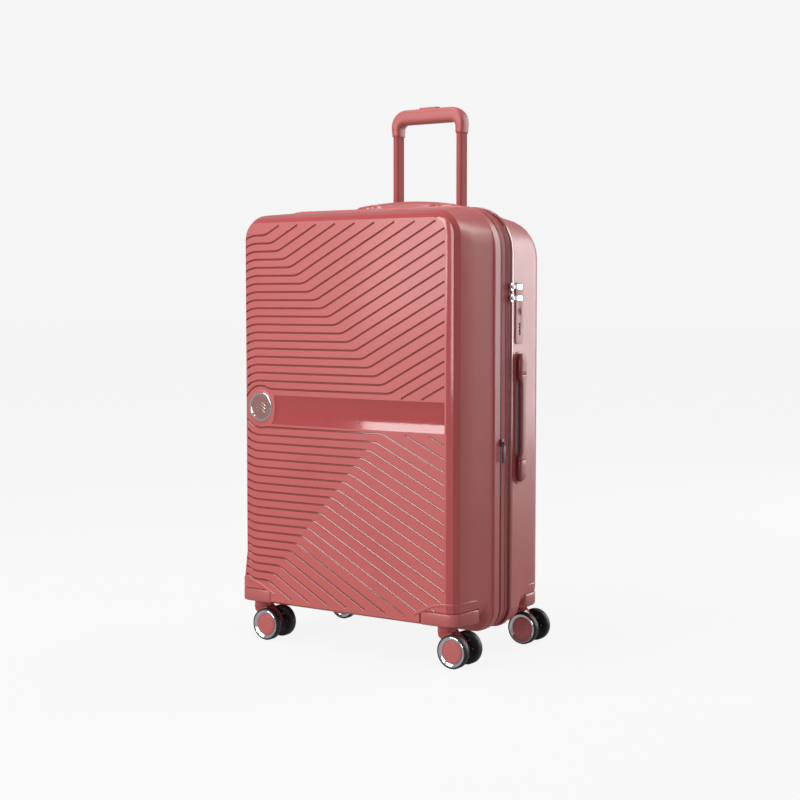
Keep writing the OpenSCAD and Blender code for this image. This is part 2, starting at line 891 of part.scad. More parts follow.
rear_shell();
rear_zip_tape();
rear_lining();
trolley_bezel();
trolley_outer_tubes();
lock_plate();
side_handle_base();
top_handle_base();
rear_wheel_housings();
rear_screws();
packing_straps();
key_cylinder();
dial(1);  // dial_1
dial(2);  // dial_2
dial(3);  // dial_3
zip_slider_upper();
zip_pull_upper();
zip_slider_lower();
zip_pull_lower();
expander_band();
hinge_tape();
expander_gusset();
expander_slider();
expander_pull();
front_shell();
front_zip_tape();
front_lining();
front_wheel_housings();
front_screws();
badge();
trolley_middle_tubes();
trolley_inner_tubes();
trolley_grip();
trolley_button();
side_handle();
top_handle();
for (corner = ["front_left", "front_right", "rear_left", "rear_right"]) {
    fork(corner);
    axle(corner);
    hubs(corner);
    tyres(corner);
    rings(corner);
    caps(corner);
}
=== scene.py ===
"""Looks of a large hard shell suitcase on four twin casters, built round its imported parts."""

import logging
import math
from dataclasses import dataclass
from enum import Enum
from typing import Iterable, Sequence

import bmesh
import bpy
from mathutils import Matrix, Vector


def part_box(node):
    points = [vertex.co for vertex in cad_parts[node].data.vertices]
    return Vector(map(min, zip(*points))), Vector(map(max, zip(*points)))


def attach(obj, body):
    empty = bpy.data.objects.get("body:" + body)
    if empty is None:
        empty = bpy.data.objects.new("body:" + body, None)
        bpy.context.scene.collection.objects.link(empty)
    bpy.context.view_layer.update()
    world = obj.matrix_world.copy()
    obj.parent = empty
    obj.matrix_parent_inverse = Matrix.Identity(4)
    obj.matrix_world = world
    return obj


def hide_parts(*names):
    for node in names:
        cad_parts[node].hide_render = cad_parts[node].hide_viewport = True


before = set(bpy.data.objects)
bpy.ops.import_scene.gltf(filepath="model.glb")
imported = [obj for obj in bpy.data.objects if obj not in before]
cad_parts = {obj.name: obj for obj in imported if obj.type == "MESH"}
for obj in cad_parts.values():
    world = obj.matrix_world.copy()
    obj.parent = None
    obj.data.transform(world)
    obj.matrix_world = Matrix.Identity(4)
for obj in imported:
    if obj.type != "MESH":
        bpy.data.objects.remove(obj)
LOG = logging.getLogger("suitcase")
MM = 0.001

Colour = tuple[float, float, float, float]
Path = list[Vector]


# ---------------------------------------------------------------- shader maths


def srgb(red: int, green: int, blue: int) -> Colour:
    """Turn a screen colour into the linear colour that shaders take.

    Args:
        red: Red, 0 to 255.
        green: Green, 0 to 255.
        blue: Blue, 0 to 255.

    Returns:
        The linear colour with an alpha of 1.
    """
    linear = [((v / 255 + 0.055) / 1.055) ** 2.4 if v > 10 else v / 255 / 12.92 for v in (red, green, blue)]
    return (linear[0], linear[1], linear[2], 1.0)


class Wire:
    """A shader socket on which arithmetic adds Math nodes."""

    def __init__(self, graph: "Graph", socket: bpy.types.NodeSocket) -> None:
        """Wrap a socket of a graph."""
        self.graph = graph
        self.socket = socket

    def math(self, operation: str, *values: "Wire | float") -> "Wire":
        """Add one Math node.

        Args:
            operation: The Math node's operation.
            values: Its inputs in order.

        Returns:
            The result.
        """
        return self.graph.add("ShaderNodeMath", {"operation": operation}, dict(enumerate(values)))

    def __add__(self, other: "Wire | float") -> "Wire":
        """Return self + other."""
        return self.math("ADD", self, other)

    def __radd__(self, other: float) -> "Wire":
        """Return other + self."""
        return self.math("ADD", other, self)

    def __sub__(self, other: "Wire | float") -> "Wire":
        """Return self - other."""
        return self.math("SUBTRACT", self, other)

    def __rsub__(self, other: float) -> "Wire":
        """Return other - self."""
        return self.math("SUBTRACT", other, self)

    def __mul__(self, other: "Wire | float") -> "Wire":
        """Return self * other."""
        return self.math("MULTIPLY", self, other)

    def __rmul__(self, other: float) -> "Wire":
        """Return other * self."""
        return self.math("MULTIPLY", other, self)

    def above(self, level: float) -> "Wire":
        """Return 1 where the value is above the level, and 0 elsewhere."""
        return self.math("GREATER_THAN", self, level)


class Graph:
    """The node tree of one material."""

    def __init__(self, name: str) -> None:
        """Create an empty material with its output and its main shader."""
        self.material = bpy.data.materials.new(name)
        self.material.use_nodes = True
        self.tree = self.material.node_tree
        self.tree.nodes.clear()
        self.output = self.tree.nodes.new("ShaderNodeOutputMaterial")
        self.shader = self.tree.nodes.new("ShaderNodeBsdfPrincipled")
        self.tree.links.new(self.shader.outputs[0], self.output.inputs[0])

    def add(self, kind: str, settings: dict[str, object] | None = None,
            inputs: dict[str | int, object] | None = None, output: str | int = 0) -> Wire:
        """Add one node.

        Args:
            kind: The node's type.
            settings: Its properties, set before its sockets.
            inputs: Values or wires for its sockets, by name or number.
            output: The output that is returned.

        Returns:
            The chosen output.
        """
        node = self.tree.nodes.new(kind)
        for key, value in (settings or {}).items():
            setattr(node, key, value)
        for key, value in (inputs or {}).items():
            self.feed(node.inputs[key], value)
        return Wire(self, node.outputs[output])

    def feed(self, socket: bpy.types.NodeSocket, value: object) -> None:
        """Link a wire to a socket, or set the socket's value."""
        if isinstance(value, Wire):
            self.tree.links.new(value.socket, socket)
        else:
            socket.default_value = value

    def set(self, **values: object) -> None:
        """Feed the main shader's sockets, with spaces written as underscores."""
        for key, value in values.items():
            self.feed(self.shader.inputs[key.replace("_", " ")], value)

    def place(self) -> Wire:
        """Return the point in the object's own frame, in metres."""
        return self.add("ShaderNodeTexCoord", output="Object")

    def noise(self, size: float, detail: float = 2.0,
              stretch: tuple[float, float, float] = (1, 1, 1)) -> Wire:
        """Add a noise.

        Args:
            size: The size of its features, in metres.
            detail: Its number of octaves.
            stretch: How many times longer the features are along each axis.

        Returns:
            The noise's value, about 0.5 on average.
        """
        scale = tuple(1 / (size * s) for s in stretch)
        place = self.add("ShaderNodeMapping", None, {"Vector": self.place(), "Scale": scale})
        return self.add("ShaderNodeTexNoise", None, {"Vector": place, "Scale": 1.0, "Detail": detail}, "Fac")

    def mix(self, share: Wire | float, first: object, second: object) -> Wire:
        """Mix two colours by a share from 0 to 1."""
        return self.add("ShaderNodeMix", {"data_type": "RGBA"}, {0: share, 6: first, 7: second}, 2)

    def bump(self, height: Wire, depth: float, strength: float = 1.0) -> Wire:
        """Turn a height from 0 to 1 into a normal.

        Args:
            height: The height field.
            depth: The height of 1, in metres.
            strength: How much of it is used.

        Returns:
            The bumped normal.
        """
        return self.add("ShaderNodeBump", None, {"Strength": strength, "Distance": depth, "Height": height})


def shade(colour: Colour, factor: float) -> Colour:
    """Return a colour made lighter or darker by a factor."""
    return (colour[0] * factor, colour[1] * factor, colour[2] * factor, 1.0)


# -------------------------------------------------------------------- finishes


@dataclass(frozen=True)
class Moulded:
    """Moulded plastic with a fine pebble grain."""

    colour: Colour
    roughness: float = 0.34
    grain: float = 0.0011
    depth: float = 0.00007
    coat: float = 0.25

    def paint(self, graph: Graph) -> None:
        """Lay the pebble grain, a faint cloudiness and fine scuffs."""
        pebble = graph.noise(self.grain, 3.0)
        cloud = graph.noise(0.09, 3.0)
        scuff = graph.noise(0.004, 4.0, (1, 1, 6)).above(0.66)
        graph.set(
            Base_Color=graph.mix(cloud, shade(self.colour, 0.92), shade(self.colour, 1.07)),
            Roughness=self.roughness + (cloud - 0.5) * 0.12 + scuff * 0.05,
            Normal=graph.bump(pebble, self.depth),
            Coat_Weight=self.coat,
            Coat_Roughness=0.12,
        )


@dataclass(frozen=True)
class Polished:
    """Polished plastic with a slight orange peel."""

    colour: Colour
    roughness: float = 0.12
    peel: float = 0.00006

    def paint(self, graph: Graph) -> None:
        """Lay the orange peel and a smeared gloss."""
        smear = graph.noise(0.03, 4.0, (1, 1, 3))
        graph.set(
            Base_Color=graph.mix(smear, shade(self.colour, 0.95), shade(self.colour, 1.05)),
            Roughness=self.roughness + (smear - 0.5) * 0.1,
            Normal=graph.bump(graph.noise(0.006, 1.0), self.peel),
            Coat_Weight=0.6,
            Coat_Roughness=0.04,
        )


@dataclass(frozen=True)
class Metal:
    """Bare or anodised metal, brushed along one axis."""

    colour: Colour
    roughness: float = 0.2
    metallic: float = 1.0
    specular: float = 0.5
    brushed: tuple[float, float, float] = (1, 1, 30)
    depth: float = 0.000006

    def paint(self, graph: Graph) -> None:
        """Lay fine brush lines and a soft tarnish."""
        lines = graph.noise(0.0006, 2.0, self.brushed)
        tarnish = graph.noise(0.02, 3.0)
        graph.set(
            Base_Color=graph.mix(tarnish, shade(self.colour, 0.9), self.colour),
            Metallic=self.metallic,
            Specular_IOR_Level=self.specular,
            Roughness=self.roughness + (lines - 0.5) * 0.12 + (tarnish - 0.5) * 0.08,
            Normal=graph.bump(lines, self.depth),
        )


@dataclass(frozen=True)
class Woven:
    """Woven cloth or webbing, with its threads across and along the piece."""

    colour: Colour
    thread: float = 0.0007
    depth: float = 0.00025
    roughness: float = 0.75
    sheen: float = 0.25

    def paint(self, graph: Graph) -> None:
        """Lay warp and weft waves, which take turns on top, and a faded tone."""
        scale = 0.05 / self.thread
        waves = [
            graph.add("ShaderNodeTexWave", {"bands_direction": way},
                      {"Vector": graph.place(), "Scale": scale, "Distortion": 0.4, "Detail": 1.0}, "Fac")
            for way in ("X", "Y", "Z")]
        weave = waves[0] * waves[2] + waves[1] * (1 - waves[2])
        fade = graph.noise(0.05, 3.0)
        tone = graph.mix(weave, shade(self.colour, 0.72), shade(self.colour, 1.08))
        graph.set(
            Base_Color=graph.mix(fade, tone, shade(self.colour, 0.94)),
            Roughness=self.roughness + (fade - 0.5) * 0.15,
            Normal=graph.bump(weave, self.depth, 0.7),
            Sheen_Weight=self.sheen,
        )


@dataclass(frozen=True)
class Rubber:
    """Dark rubber or matt black plastic."""

    colour: Colour
    roughness: float = 0.55

    def paint(self, graph: Graph) -> None:
        """Lay a fine grain and a little dust."""
        dust = graph.noise(0.008, 4.0)
        graph.set(
            Base_Color=graph.mix(dust, self.colour, shade(self.colour, 1.9)),
            Roughness=self.roughness + (dust - 0.5) * 0.2,
            Normal=graph.bump(graph.noise(0.0009, 2.0), 0.00004),
        )


class Finish(Enum):
    """The finishes, each with the record's material slot."""

    SHELL = ("shell", Moulded(srgb(189, 92, 90), roughness=0.38, depth=0.00004, coat=0.12))
    PANEL = ("shell", Moulded(srgb(192, 92, 90), roughness=0.38))
    # The groove walls are darker than the panel: painted shade in the grooves.
    GROOVE_PAINTED_SHADE = ("shell", Polished(srgb(142, 60, 60), roughness=0.16))
    COVER = ("gloss_trim", Moulded(srgb(182, 90, 88), roughness=0.4))
    GLOSS = ("gloss_trim", Polished(srgb(172, 70, 72)))
    BELT = ("gloss_trim", Polished(srgb(170, 66, 66), roughness=0.09))
    GRIP = ("handle", Moulded(srgb(182, 94, 92), roughness=0.42, depth=0.00003, coat=0.0))
    # The darkened handle colour paints shade and a dark reflection on the side handle's flanks; HANDLE_PALE is
    # the same plastic without it.
    HANDLE = ("handle", Polished(srgb(122, 44, 48), roughness=0.2))
    HANDLE_PALE = ("handle", Polished(srgb(172, 84, 82), roughness=0.3))
    HANDLE_FACE = ("handle", Moulded(srgb(168, 82, 80), roughness=0.42, depth=0.00003, coat=0.0))
    PLATE = ("gloss_trim", Moulded(srgb(176, 88, 86), roughness=0.42, depth=0.00003, coat=0.0))
    TAPE = ("zip_tape", Woven(srgb(150, 70, 70), thread=0.0006))
    BAND = ("band", Woven(srgb(184, 84, 82), thread=0.0005, depth=0.00008, roughness=0.6, sheen=0.0))
    GUSSET = ("gusset", Woven(srgb(120, 60, 60), thread=0.0008))
    LINING = ("lining", Woven(srgb(150, 132, 130), thread=0.0009, depth=0.0003))
    STRAP = ("strap", Woven(srgb(120, 58, 60), thread=0.0012, depth=0.0004))
    ROSE_TUBE = ("rose_tube", Metal(srgb(172, 92, 90), roughness=0.4, metallic=0.05, specular=0.02))
    PLAIN_TUBE = ("plain_tube", Metal(srgb(176, 178, 182), roughness=0.3))
    STEEL = ("steel", Metal(srgb(168, 170, 176), roughness=0.3))
    CHROME = ("chrome", Metal(srgb(226, 228, 232), roughness=0.07, brushed=(1, 1, 1), depth=0.000002))
    DIAL = ("dial", Rubber(srgb(40, 40, 44), roughness=0.35))
    MARK = ("dial", Polished(srgb(226, 224, 220), roughness=0.4))
    DARK_ZIP = ("dark_zip", Rubber(srgb(74, 30, 34), roughness=0.35))
    HUB = ("hub", Rubber(srgb(24, 24, 26), roughness=0.4))
    TYRE = ("tyre", Rubber(srgb(20, 20, 22), roughness=0.5))
    CAP = ("cap", Moulded(srgb(184, 92, 92), roughness=0.4))
    BADGE = ("gloss_trim", Moulded(srgb(142, 92, 84), roughness=0.5))

    @property
    def slot(self) -> str:
        """The record's material slot."""
        return self.value[0]

    @property
    def material(self) -> bpy.types.Material:
        """The finish's material, made when it is first asked for."""
        name = f"{self.name.lower()}_finish"
        if name not in bpy.data.materials:
            graph = Graph(name)
            self.value[1].paint(graph)
        return bpy.data.materials[name]


def dress(nodes: Iterable[str], finish: Finish) -> None:
    """Give carried-over parts a finish.

    Args:
        nodes: The parts' names.
        finish: What they are made of.
    """
    for name in nodes:
        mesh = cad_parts[name].data
        mesh.materials.clear()
        mesh.materials.append(finish.material)


# ---------------------------------------------------------------- mesh helpers


def new_piece(name: str, points: Sequence[Vector], faces: Sequence[Sequence[int]],
              finish: Finish | None = None) -> bpy.types.Object:
    """Make an object from points and faces, merged and facing outwards.

    Args:
        name: The piece's name.
        points: Its points, in the case's frame.
        faces: Its faces, as numbers of points.
        finish: What it is made of.

    Returns:
        The new object.
    """
    mesh = bpy.data.meshes.new(name)
    mesh.from_pydata([tuple(p) for p in points], [], [tuple(f) for f in faces])
    settle(mesh)
    piece = bpy.data.objects.new(name, mesh)
    bpy.context.scene.collection.objects.link(piece)
    if finish:
        mesh.materials.append(finish.material)
    return piece


def settle(mesh: bpy.types.Mesh) -> None:
    """Merge a mesh's doubles and turn its faces outwards."""
    work = bmesh.new()
    work.from_mesh(mesh)
    bmesh.ops.remove_doubles(work, verts=work.verts, dist=1e-6)
    bmesh.ops.recalc_face_normals(work, faces=work.faces)
    work.to_mesh(mesh)
    work.free()


def freeze(piece: bpy.types.Object) -> bpy.types.Object:
    """Turn a piece's modifiers into a plain mesh.

    Args:
        piece: The object to settle.

    Returns:
        The same object, without modifiers.
    """
    bpy.context.view_layer.update()
    graph = bpy.context.evaluated_depsgraph_get()
    mesh = bpy.data.meshes.new_from_object(piece.evaluated_get(graph), depsgraph=graph)
    old = piece.data
    piece.modifiers.clear()
    piece.data = mesh
    mesh.name = piece.name
    bpy.data.meshes.remove(old)
    return piece


def smooth(piece: bpy.types.Object, angle: float = 32.0) -> bpy.types.Object:
    """Shade a piece smooth, with creases above an angle in degrees."""
    piece.data.polygons.foreach_set("use_smooth", [True] * len(piece.data.polygons))
    piece.data.set_sharp_from_angle(angle=math.radians(angle))
    return piece


def bevel(piece: bpy.types.Object, width: float, segments: int = 3, angle: float = 35.0) -> bpy.types.Object:
    """Round a piece's sharp edges.

    Args:
        piece: The object.
        width: The rounding's width, in metres.
        segments: Its number of steps.
        angle: Edges sharper than this are rounded, in degrees.

    Returns:
        The same object, frozen and shaded smooth.
    """
    rounding = piece.modifiers.new("bevel", "BEVEL")
    rounding.width = width
    rounding.segments = segments
    rounding.limit_method = "ANGLE"
    rounding.angle_limit = math.radians(angle)
    rounding.harden_normals = False
    return smooth(freeze(piece), 40.0)


def carve(piece: bpy.types.Object, cutters: Sequence[bpy.types.Object],
          operation: str = "DIFFERENCE") -> None:
    """Cut pieces out of a piece, and remove the cutters.

    Args:
        piece: The object that is cut.
        cutters: What is cut out of it, one after another.
        operation: The boolean operation.
    """
    for cutter in cutters:
        cut = piece.modifiers.new("cut", "BOOLEAN")
        cut.operation = operation
        cut.object = cutter
        cut.solver = "EXACT"
        cut.material_mode = "TRANSFER"
        freeze(piece)
        bpy.data.objects.remove(cutter)


def join(name: str, pieces: Sequence[bpy.types.Object]) -> bpy.types.Object:
    """Join pieces into one object.

    Args:
        name: The joined piece's name.
        pieces: The objects, which are removed.

    Returns:
        The joined object.
    """
    work = bmesh.new()
    materials: list[bpy.types.Material] = []
    for piece in pieces:
        own = [m for m in piece.data.materials]
        materials += [m for m in own if m not in materials]
        start = len(work.faces)
        work.from_mesh(piece.data)
        work.faces.ensure_lookup_table()
        for face in work.faces[start:]:
            face.material_index = materials.index(own[face.material_index])
    mesh = bpy.data.meshes.new(name)
    work.to_mesh(mesh)
    work.free()
    for material in materials:
        mesh.materials.append(material)
    for piece in pieces:
        bpy.data.objects.remove(piece)
    joined = bpy.data.objects.new(name, mesh)
    bpy.context.scene.collection.objects.link(joined)
    return joined


def loft(name: str, rings: Sequence[Path], finish: Finish | None = None, closed: bool = False,
         poles: Sequence[Vector | None] = (None, None)) -> bpy.types.Object:
    """Skin a row of rings that have the same number of points.

    Args:
        name: The piece's name.
        rings: The rings in order.
        finish: What the piece is made of.
        closed: Whether the last ring joins the first.
        poles: A point that closes the first and the last ring, or None for a flat cap.

    Returns:
        The lofted object.
    """
    count = len(rings[0])
    points = [p for ring in rings for p in ring]
    faces: list[Sequence[int]] = []
    for row in range(len(rings) if closed else len(rings) - 1):
        here = row * count
        there = (row + 1) % len(rings) * count
        for i in range(count):
            j = (i + 1) % count
            faces.append((here + i, here + j, there + j, there + i))
    if not closed:
        for pole, start in zip(poles, (0, len(points) - count)):
            if pole is None:
                faces.append(tuple(range(start, start + count)))
            else:
                points.append(pole)
                faces += [(start + i, start + (i + 1) % count, len(points) - 1) for i in range(count)]
    return new_piece(name, points, faces, finish)


def prism(name: str, outline: Sequence[Vector], along: Vector,
          finish: Finish | None = None) -> bpy.types.Object:
    """Push a flat outline along a vector into a closed solid."""
    return loft(name, [list(outline), [p + along for p in outline]], finish)


def block(name: str, low: Vector, high: Vector, finish: Finish | None = None) -> bpy.types.Object:
    """Make a box between two corners, for cutting and for blanks that are rounded later."""
    foot = [Vector((x, y, low.z)) for x, y in
            ((low.x, low.y), (high.x, low.y), (high.x, high.y), (low.x, high.y))]
    return prism(name, foot, Vector((0, 0, high.z - low.z)), finish)


def turn_points(centre: Vector, radius: float, start: float, end: float, steps: int,
                across: Vector, up: Vector) -> Path:
    """Return points along an arc.

    Args:
        centre: The arc's centre.
        radius: Its radius.
        start: Its first angle, in degrees.
        end: Its last angle, in degrees.
        steps: Its number of steps.
        across: The direction of angle 0.
        up: The direction of angle 90.

    Returns:
        steps + 1 points.
    """
    turns = [math.radians(start + (end - start) * i / steps) for i in range(steps + 1)]
    return [centre + radius * (math.cos(t) * across + math.sin(t) * up) for t in turns]


def lathe(name: str, centre: Vector, section: Sequence[tuple[float, float]], side: float,
          finish: Finish, steps: int = 72) -> bpy.types.Object:
    """Turn a section about an axis along Y.

    Args:
        name: The piece's name.
        centre: A point on the axis, from which the section is measured.
        section: Radius and distance out along the axis, in millimetres, round the section.
        side: 1 or -1 for the way out.
        finish: What the piece is made of.
        steps: The number of steps round the axis.

    Returns:
        The turned object.
    """
    rings = []
    for step in range(steps):
        angle = 2 * math.pi * step / steps
        out = Vector((math.cos(angle), 0, math.sin(angle)))
        rings.append([centre + out * max(r, 0.0005) * MM + Vector((0, side * d * MM, 0)) for r, d in section])
    return smooth(loft(name, rings, finish, closed=True), 35.0)


# -------------------------------------------------------------- geometry nodes


class NodeTree:
    """A Geometry Nodes tree that ends in Realize Instances and Set Material."""

    def __init__(self, name: str, sockets: dict[str, str]) -> None:
        """Create the tree.

        Args:
            name: The tree's name.
            sockets: Its inputs' names and types, after the path.
        """
        self.tree = bpy.data.node_groups.new(name, "GeometryNodeTree")
        face = self.tree.interface
        face.new_socket("Path", in_out="INPUT", socket_type="NodeSocketGeometry")
        every = {**sockets, "Material": "NodeSocketMaterial"}
        self.keys = {
            label: face.new_socket(label, in_out="INPUT", socket_type=kind).identifier
            for label, kind in every.items()}
        face.new_socket("Mesh", in_out="OUTPUT", socket_type="NodeSocketGeometry")
        self.inputs = self.tree.nodes.new("NodeGroupInput")

    def add(self, kind: str, settings: dict[str, object] | None = None,
            inputs: dict[str | int, object] | None = None) -> bpy.types.Node:
        """Add one node.

        Args:
            kind: The node's type.
            settings: Its properties, set first.
            inputs: Values or sockets for its inputs.

        Returns:
            The new node.
        """
        node = self.tree.nodes.new(kind)
        for key, value in (settings or {}).items():
            setattr(node, key, value)
        for key, value in (inputs or {}).items():
            if isinstance(value, bpy.types.NodeSocket):
                self.tree.links.new(value, node.inputs[key])
            else:
                node.inputs[key].default_value = value
        return node

    def close(self, mesh: bpy.types.NodeSocket) -> None:
        """Realize the instances, set the material and end the tree."""
        real = self.add("GeometryNodeRealizeInstances", None, {0: mesh})
        dressed = self.add("GeometryNodeSetMaterial", None,
                           {"Geometry": real.outputs[0], "Material": self.inputs.outputs["Material"]})
        self.add("NodeGroupOutput", None, {0: dressed.outputs[0]})

    def build(self, name: str, paths: Sequence[Path], closed: bool, finish: Finish,
              **values: object) -> bpy.types.Object:
        """Run the tree along paths.

        Args:
            name: The piece's name.
            paths: The paths that it follows.
            closed: Whether each path's end joins its start.
            finish: What the piece is made of.
            values: The tree's inputs by name, with spaces written as underscores.

        Returns:
            The result as a plain mesh object.
        """
        points = [tuple(p) for path in paths for p in path]
        edges = []
        start = 0
        for path in paths:
            last = len(path) if closed else len(path) - 1
            edges += [(start + i, start + (i + 1) % len(path)) for i in range(last)]
            start += len(path)
        mesh = bpy.data.meshes.new(name)
        mesh.from_pydata(points, edges, [])
        piece = bpy.data.objects.new(name, mesh)
        bpy.context.scene.collection.objects.link(piece)
        modifier = piece.modifiers.new("nodes", "NODES")
        modifier.node_group = self.tree
        for label, value in {**values, "Material": finish.material}.items():
            modifier[self.keys[label.replace("_", " ")]] = value
        freeze(piece)
        settle(piece.data)
        return piece


def bead_tree() -> NodeTree:
    """Build the tree that sweeps a round bead along paths."""
    tree = NodeTree("bead", {"Radius": "NodeSocketFloat", "Sides": "NodeSocketInt"})
    source = tree.inputs.outputs
    curve = tree.add("GeometryNodeMeshToCurve", None, {"Mesh": source["Path"]})
    profile = tree.add("GeometryNodeCurvePrimitiveCircle", None,
                       {"Resolution": source["Sides"], "Radius": source["Radius"]})
    swept = tree.add("GeometryNodeCurveToMesh", None,
                     {"Curve": curve.outputs[0], "Profile Curve": profile.outputs[0], "Fill Caps": True})
    tree.close(swept.outputs[0])
    return tree


def row_tree() -> NodeTree:
    """Build the tree that sets small blocks in a row along paths in a plane across Y."""
    tree = NodeTree("row", {"Pitch": "NodeSocketFloat", "Size": "NodeSocketVector",
                            "Tilt": "NodeSocketFloat"})
    source = tree.inputs.outputs
    curve = tree.add("GeometryNodeMeshToCurve", None, {"Mesh": source["Path"]})
    spaced = tree.add("GeometryNodeResampleCurve", {"mode": "LENGTH"},
                      {"Curve": curve.outputs[0], "Length": source["Pitch"]})
    tangent = tree.add("GeometryNodeInputTangent")
    facing = tree.add("FunctionNodeAlignRotationToVector", {"axis": "X", "pivot_axis": "Y"},
                      {"Vector": tangent.outputs[0]})
    slant = tree.add("ShaderNodeCombineXYZ", None, {"Z": source["Tilt"]})
    cube = tree.add("GeometryNodeMeshCube", None, {"Size": source["Size"]})
    turned = tree.add("GeometryNodeTransform", None,
                      {"Geometry": cube.outputs[0], "Rotation": slant.outputs[0]})
    placed = tree.add("GeometryNodeInstanceOnPoints", None,
                      {"Points": spaced.outputs[0], "Instance": turned.outputs[0],
                       "Rotation": facing.outputs[0]})
    tree.close(placed.outputs[0])
    return tree


# ----------------------------------------------------------------- case layout


@dataclass(frozen=True)
class Outline:
    """A rounded outline in X and Z at one depth."""

    half_w: float
    low: float
    high: float
    head_r: float
    foot_r: float
    y: float

    CORNER_STEPS = 8
    SIDE_STEPS = 10
    END_STEPS = 6

    def inset(self, by: float, y: float | None = None) -> "Outline":
        """Return the outline drawn in by a distance, at the same or another depth."""
        return Outline(self.half_w - by, self.low + by, self.high - by, max(self.head_r - by, 0.002),
                       max(self.foot_r - by, 0.002), self.y if y is None else y)

    def points(self) -> Path:
        """Return the outline's points, from the foot's middle up the right side."""
        across = Vector((1, 0, 0))
        up = Vector((0, 0, 1))
        corners = [
            (1, self.low + self.foot_r, self.foot_r, -90),
            (1, self.high - self.head_r, self.head_r, 0),
            (-1, self.high - self.head_r, self.head_r, 90),
            (-1, self.low + self.foot_r, self.foot_r, 180)]
        arcs = [
            turn_points(Vector((side * (self.half_w - r), self.y, z)), r, start, start + 90,
                        self.CORNER_STEPS, across, up)
            for side, z, r, start in corners]
        steps = (self.SIDE_STEPS, self.END_STEPS, self.SIDE_STEPS, self.END_STEPS)
        ring: Path = []
        for index, arc in enumerate(arcs):
            ring += arc
            after = arcs[(index + 1) % len(arcs)][0]
            ring += [arc[-1].lerp(after, k / steps[index]) for k in range(1, steps[index])]
        return ring

    def shrunk(self, share: float) -> Path:
        """Return the outline's points scaled towards its middle."""
        middle = Vector((0, self.y, (self.low + self.high) / 2))
        return [middle + (p - middle) * share for p in self.points()]


@dataclass(frozen=True)
class Layout:
    """The case's main planes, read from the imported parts."""

    half_w: float
    foot_z: float
    top_z: float
    face_y: float
    front_rim_y: float
    expand_y: float
    split_y: float
    rear_rim_y: float
    back_y: float
    well_z: float
    housing_top: float
    slope: float = math.tan(math.radians(5.5))
    head_r: float = 0.075
    foot_r: float = 0.040
    band_inset: float = 0.0014
    crown: float = 0.0035

    @classmethod
    def read(cls) -> "Layout":
        """Read the planes from the parts' boxes."""
        band_low, band_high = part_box("expander_band")
        front_low, front_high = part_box("front_shell")
        rear_low, rear_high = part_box("rear_shell")
        house_low, house_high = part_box("front_wheel_housings")
        inset = cls.band_inset
        return cls(
            half_w=band_high.x + inset, foot_z=band_low.z - inset, top_z=band_high.z + inset,
            face_y=front_low.y, front_rim_y=front_high.y, expand_y=band_low.y, split_y=band_high.y,
            rear_rim_y=rear_low.y, back_y=rear_high.y, well_z=house_low.z, housing_top=house_high.z)

    @property
    def mid_z(self) -> float:
        """Middle height of the rims."""
        return (self.foot_z + self.top_z) / 2

    def rim(self, y: float, inset: float = 0.0) -> Outline:
        """Return the rims' outline at a depth, drawn in by an inset."""
        return Outline(self.half_w, self.foot_z, self.top_z, self.head_r, self.foot_r, y).inset(inset, y)

    def crowned(self, x: float, z: float, half_w: float = 0.21) -> float:
        """Return how far the panels bulge at a place."""
        across = min(1.0, abs(x) / half_w)
        along = min(1.0, abs(z - self.mid_z) / (self.mid_z - self.well_z))
        return self.crown * (1 - across ** 2) * (1 - along ** 2)


LAY = Layout.read()
BEAD = bead_tree()
ROW = row_tree()


def finish_piece(piece: bpy.types.Object, body: str, finish: Finish, *replaced: str) -> None:
    """Ride a piece on a body, hide the plain parts that it replaces and log it.

    Args:
        piece: The finished piece.
        body: The body that it moves with.
        finish: Not used.
        replaced: The plain parts that it replaces.
    """
    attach(piece, body)
    if replaced:
        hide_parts(*replaced)
    LOG.info("%s: %d faces on %s", piece.name, len(piece.data.polygons), body)


# ---------------------------------------------------------------- front shell


@dataclass(frozen=True)
class SoftEdge:
    """The soft edge that takes the bevel's place at the left of the front panel."""

    amount: float = 0.0095
    start_x: float = 0.15
    run_x: float = 0.05
    start_z: float = 0.100
    run_z: float = 0.025
    onset: float = 0.002
    fade: float = 0.03

    def draw_in(self, piece: bpy.types.Object) -> bpy.types.Object:
        """Draw a piece of the front half in at the left, above the wheel housings.

        Args:
            piece: The shell or its lining.

        Returns:
            The same piece.
        """
        for vertex in piece.data.vertices:
            deep = abs(vertex.co.y - LAY.face_y)
            share = max(0.0, min(1.0, (-vertex.co.x - self.start_x) / self.run_x))
            above = max(0.0, min(1.0, (vertex.co.z - self.start_z) / self.run_z))
            ease = share * share * (3 - 2 * share) * above
            rise = 1 - math.exp(-deep / self.onset)
            vertex.co.x += self.amount * ease * rise * math.exp(-(deep / self.fade) ** 2)
        return piece


SOFT_EDGE = SoftEdge()


